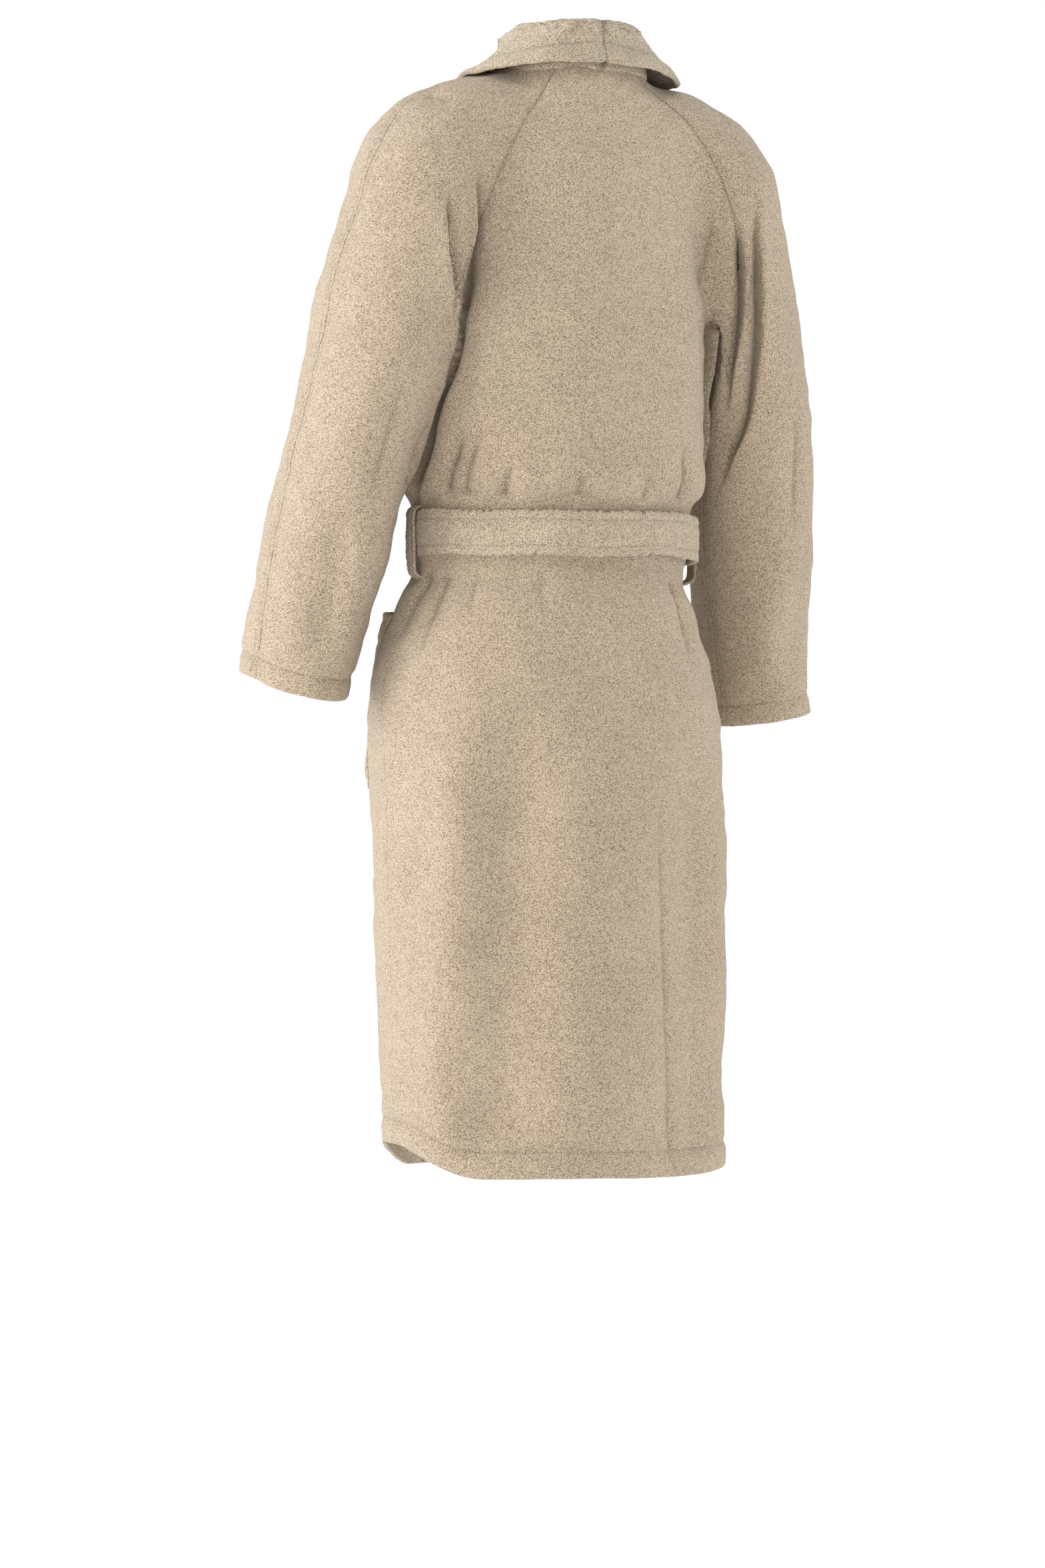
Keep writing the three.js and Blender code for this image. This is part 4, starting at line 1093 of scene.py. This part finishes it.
def make_pocket(side_name, side):
    low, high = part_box("pocket_" + side_name)
    x0, x1 = (low.x, high.x) if side > 0 else (-high.x, -low.x)
    mid, half = np.array([(x0 + x1) / 2, (low.z + high.z) / 2]), np.array([(x1 - x0) / 2, (high.z - low.z) / 2])
    corner = 0.014

    def outline(points):
        """Rounded rectangle seen from the front; the top corners stay square."""
        gap = np.abs(np.stack([side * points[:, 0], points[:, 2]], 1) - mid) - half
        up = points[:, 2] > mid[1]
        r = np.where(up, 0.001, corner)[:, None]
        q = gap + r
        return np.linalg.norm(np.maximum(q, 0), axis=1) + np.minimum(q.max(1), 0) - r[:, 0]

    def in_front(points):
        return points[:, 1] - high.y

    def shown(points):
        return np.maximum(outline(points), in_front(points))

    cloth = FORM.cut("arm").cut(in_front).cut(outline)

    def stand_off(rest, lines):
        top = high.z - rest[:, 2]
        sewn = np.minimum(-shown(rest), 1)
        inside = smooth(0, 0.016, np.where(top < 0.02, np.minimum(-in_front(rest), half[0] - np.abs(side * rest[:, 0] - mid[0])), sewn))
        gape = 0.012 * smooth(0.10, 0.0, top) * smooth(0, 0.05, half[0] - np.abs(side * rest[:, 0] - mid[0]))
        band = 0.0014 * smooth(0.032, 0.024, top)
        return 0.0022 + 0.0042 * inside + gape * inside + band

    cloth = shape_panel(cloth, stitches=[(lambda p: -np.maximum(outline(p), in_front(p)), 0.006)],
                        bands=[(lambda p: high.z - p[:, 2], 0.03)], extra=stand_off)
    cloth = cloth.shell(0.0045, rolled=lambda p: p[:, 1] < 10)
    obj = piece("pocket_patch_" + side_name, cloth, BODY_TERRY)
    return finish_piece(obj, "robe", ["pocket_" + side_name])


def evened(points, faces, voxel):
    """The closed shapes fused and laid out again in small even faces."""
    mesh = bpy.data.meshes.new("even")
    mesh.from_pydata(points.tolist(), [], faces.tolist())
    obj = bpy.data.objects.new("even", mesh)
    bpy.context.scene.collection.objects.link(obj)
    modifier = obj.modifiers.new("even", "REMESH")
    modifier.mode = "VOXEL"
    modifier.voxel_size = voxel
    graph = bpy.context.evaluated_depsgraph_get()
    even = obj.evaluated_get(graph).to_mesh()
    co = np.empty(3 * len(even.vertices), np.float32)
    even.vertices.foreach_get("co", co)
    even.calc_loop_triangles()
    tri = np.empty(3 * len(even.loop_triangles), np.int32)
    even.loop_triangles.foreach_get("vertices", tri)
    obj.evaluated_get(graph).to_mesh_clear()
    bpy.data.objects.remove(obj)
    bpy.data.meshes.remove(mesh)
    return Cloth(co.reshape(-1, 3).astype(float), tri.reshape(-1, 3))


# The collar from the middle of the back neck to the lapel's end: the seam's angle round the
# neck, the roll's height, and the fallen edge.
NECK_SECTIONS = [(90, 57, (0, 15, 10)), (62, 57, (52, 8, 8)), (34, 55, (100, -20, 5)),
                 (8, 55, (121, -58, 1)), (-16, 48, (122, -92, -6))]
# Height of the fold on the front edge, and the outer edge as X and Z.
LAPEL_SECTIONS = [(8, (125, -40)), (-34, (124, -76)), (-90, (117, -116)), (-150, (104, -160)),
                  (-210, (86, -214)), (-270, (60, -275)), (-330, (24, -336)), (-385, (-18, -392)),
                  (-425, (-50, -428)), (-447, (-68, -448))]


def collar_rows():
    """Control points across the collar, section by section, in metres."""
    rows = []
    for angle, roll, edge in NECK_SECTIONS:
        c, s = math.cos(math.radians(angle)), math.sin(math.radians(angle))
        root = np.array([75 * c, -68 + 65 * s, 3 if angle > 0 else -4]) * MM
        top = np.array([67 * c, -68 + 68 * s, roll]) * MM
        edge = np.array(edge) * MM
        way = edge - top
        way[2] = 0
        way = unit(way)
        up = np.array([0, 0, 1.0])
        rows.append([root, root * 0.5 + top * 0.5 - way * 0.001, top - up * 0.007,
                     top + way * 0.0035 - up * 0.001, top + way * 0.0075 - up * 0.006,
                     (top + edge) / 2 - way * 0.002 + up * 0.001, edge])
    for z, (edge_x, edge_z) in LAPEL_SECTIONS:
        fold = np.array([front_edge_x(np.array(z * MM)) if z < 0 else 0.0735, 0, z * MM])
        edge = np.array([edge_x, 0, edge_z]) * MM
        way = unit(edge - fold)
        section = []
        for step, off in ((0.004, 0.001), (0.002, 0.002), (0.0005, 0.004), (0, 0.0065), (0.004, 0.0095)):
            spot = fold + way * step
            spot[1] = skin_y(spot[0], spot[2]) - off
            section.append(spot)
        for share, off in ((0.55, 0.0095), (1.0, 0.0080)):
            spot = fold + (edge - fold) * share
            spot[1] = skin_y(spot[0], spot[2]) - off
            section.append(spot)
        rows.append(section)
    return np.array(rows)


def make_collar(side_name, side):
    rows = collar_rows()
    count, across = 230, 44
    lines = [resample(rows[:, k], count) for k in range(rows.shape[1])]
    run = np.r_[0, np.cumsum(np.linalg.norm(np.diff(rows[:, 3], axis=0), axis=1))]
    even = np.linspace(0, run[-1], count)
    lines = [through(even, np.c_[run, rows[:, k]]) for k in range(rows.shape[1])]
    control = np.stack(lines, 1)
    points = np.array([resample(section, across) for section in control])
    points = points + 0
    out = 0.0015 * waves(points.reshape(-1, 3), 0.09, 15).reshape(points.shape[:2])
    arc = np.r_["1", np.zeros((count, 1)), np.cumsum(np.linalg.norm(np.diff(points, axis=1), axis=2), 1)]
    from_edge = arc[:, -1:] - arc
    share = arc / arc[:, -1:]
    points[..., 0] *= side
    gap = 0.0068 + 0.0022 * smooth(0.0, 0.02, from_edge) + out * 0.6
    gap = np.where(share < 0.35, -1.0, gap)
    points = held_off(points, gap)
    stitch = from_edge - 0.021
    middle = np.where((points[..., 2] > 0) & (points[..., 1] > -0.05), points[..., 0] * side, 1.0)
    cloth = grid_cloth(points, seam=middle, stitch=stitch, band=np.ones_like(stitch))
    if side < 0:
        cloth.faces = cloth.faces[:, ::-1]
    normal = cloth.normals()
    edge = from_edge.ravel()
    lift = 0.0016 * np.exp(-(((edge - 0.010) / 0.008) ** 2)) + out.ravel()
    lift -= 0.0020 * np.exp(-((stitch.ravel() / 0.0026) ** 2))
    lift -= 0.0012 * np.exp(-((middle.ravel() / 0.004) ** 2))
    lift += 0.0005 * waves(cloth.points, 0.008, 9)
    cloth.points = cloth.points + normal * lift[:, None]
    if side < 0:
        def beneath_left(p):
            return np.where((p[:, 2] < 0.01) & (p[:, 1] < -0.1), p[:, 0] - front_edge_x(p[:, 2]) + 0.001, -1.0)
        cloth = cloth.cut(beneath_left)
    cloth = cloth.shell(0.0058, rolled=lambda p: np.abs(p[:, 0]) > 0.002)
    obj = piece("collar_" + side_name, cloth, COLLAR_TERRY)
    nodes = ["collar_fall_" + side_name, "collar_stand_" + side_name]
    return finish_piece(obj, "robe", nodes)


def make_hanging_loop():
    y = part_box("hanging_loop")[0].y
    rows = np.array([(-29, -1), (-29, -12), (-29, -24), (-27.5, -30), (-22, -33), (-10, -33.2), (10, -33.2), (22, -33),
                     (27.5, -30), (29, -24), (29, -12), (29, -1)], float)
    xz = resample(rows, 110) * MM
    path = np.stack([xz[:, 0], np.full(110, y), xz[:, 1]], 1)
    cloth = strap(path, np.broadcast_to([0.0, -1.0, 0.0], path.shape), 0.006, 0.0022, 7, None, 0, 0.0003, 3)
    obj = piece("hanging_tape", cloth, LOOP_TAPE)
    return finish_piece(obj, "hanger", ["hanging_loop"])


def make_label(name, node, field):
    cloth = FORM.cut("arm").cut(field)
    cloth = shape_panel(cloth, sink=PLY + 0.0008)
    cloth.faces = cloth.faces[:, ::-1]
    cloth = cloth.shell(0.0006, bulge=0.0)
    obj = piece(name, cloth, LABEL_TAPE)
    return finish_piece(obj, "robe", [node])


def within(low, high):
    middle, half = (np.array(low) + np.array(high)) / 2, (np.array(high) - np.array(low)) / 2
    return lambda p: (np.abs(p - middle) - half).max(1)


BELT = make_belt()
LOOPS = [make_loop(name, side) for name, side in SIDES]
KNOT = make_knot()
ENDS = [make_belt_end(name, side) for name, side in SIDES]
POCKETS = [make_pocket(name, side) for name, side in SIDES]
COLLARS = [make_collar(name, side) for name, side in SIDES]
HANGING = make_hanging_loop()
NECK_LABEL = make_label("neck_tag", "neck_label", within((-0.028, -0.068, -0.078), (0.028, 0.2, -0.044)))
CARE_LABEL = make_label("care_tag", "care_label", within((0.0, -0.106, -0.70), (0.2055, -0.070, -0.63)))


# ---- floor, light and camera ----
def make_stage():
    z = -1.581
    mesh = bpy.data.meshes.new("floor")
    mesh.from_pydata([(-14, -14, z), (14, -14, z), (14, 14, z), (-14, 14, z)], [], [(0, 1, 2, 3)])
    floor = bpy.data.objects.new("floor", mesh)
    bpy.context.scene.collection.objects.link(floor)
    f = Finish("pale floor")
    tone = f.mix(f.noise(0.6), (0.93, 0.93, 0.93, 1), (0.97, 0.97, 0.97, 1))
    mesh.materials.append(f.done(tone, 0.9, f.noise(40.0), 0.0001, 0.0))
    shader = next(n for n in f.tree.nodes if n.type == "BSDF_PRINCIPLED")
    shader.inputs["Emission Color"].default_value = (1, 1, 1, 1)
    shader.inputs["Emission Strength"].default_value = 0.55


RIGHT = Vector((-0.9063, 0.4226, 0))
BACK_WAY = Vector((0.4226, 0.9063, 0))
AIM = Vector((0, -0.12, -0.7))


def area_light(name, right, back, up, size, power):
    data = bpy.data.lights.new(name, "AREA")
    data.shape = "SQUARE"
    data.size = size
    data.energy = power
    lamp = bpy.data.objects.new(name, data)
    lamp.location = AIM + RIGHT * right + BACK_WAY * back + Vector((0, 0, up))
    lamp.rotation_euler = (AIM - lamp.location).to_track_quat("-Z", "Y").to_euler()
    bpy.context.scene.collection.objects.link(lamp)


def make_light():
    world = bpy.data.worlds.new("studio")
    world.use_nodes = True
    tree = world.node_tree
    shine = tree.nodes["Background"]
    shine.inputs["Color"].default_value = (1, 1, 1, 1)
    seen = tree.nodes.new("ShaderNodeLightPath")
    power = tree.nodes.new("ShaderNodeMapRange")
    power.inputs["To Min"].default_value = 0.50
    power.inputs["To Max"].default_value = 1.0
    tree.links.new(seen.outputs["Is Camera Ray"], power.inputs["Value"])
    tree.links.new(power.outputs["Result"], shine.inputs["Strength"])
    bpy.context.scene.world = world
    area_light("left window", -3.4, 1.2, 0.9, 1.8, 120)
    area_light("top", 0.2, 2.0, 3.0, 1.6, 42)
    area_light("low fill", -3.6, 2.6, -1.0, 2.5, 30)
    area_light("right window", 3.4, -0.4, 0.8, 1.6, 45)
    bpy.context.scene.view_settings.view_transform = "Standard"
    bpy.context.scene.view_settings.look = "None"


def make_camera():
    data = bpy.data.cameras.new("camera")
    data.sensor_width = 36
    data.lens = 93.8
    camera = bpy.data.objects.new("camera", data)
    camera.location = (1.9326, 3.944, -0.767)
    camera.rotation_euler = (-BACK_WAY).to_track_quat("-Z", "Y").to_euler()
    bpy.context.scene.collection.objects.link(camera)
    bpy.context.scene.camera = camera


make_stage()
make_light()
make_camera()
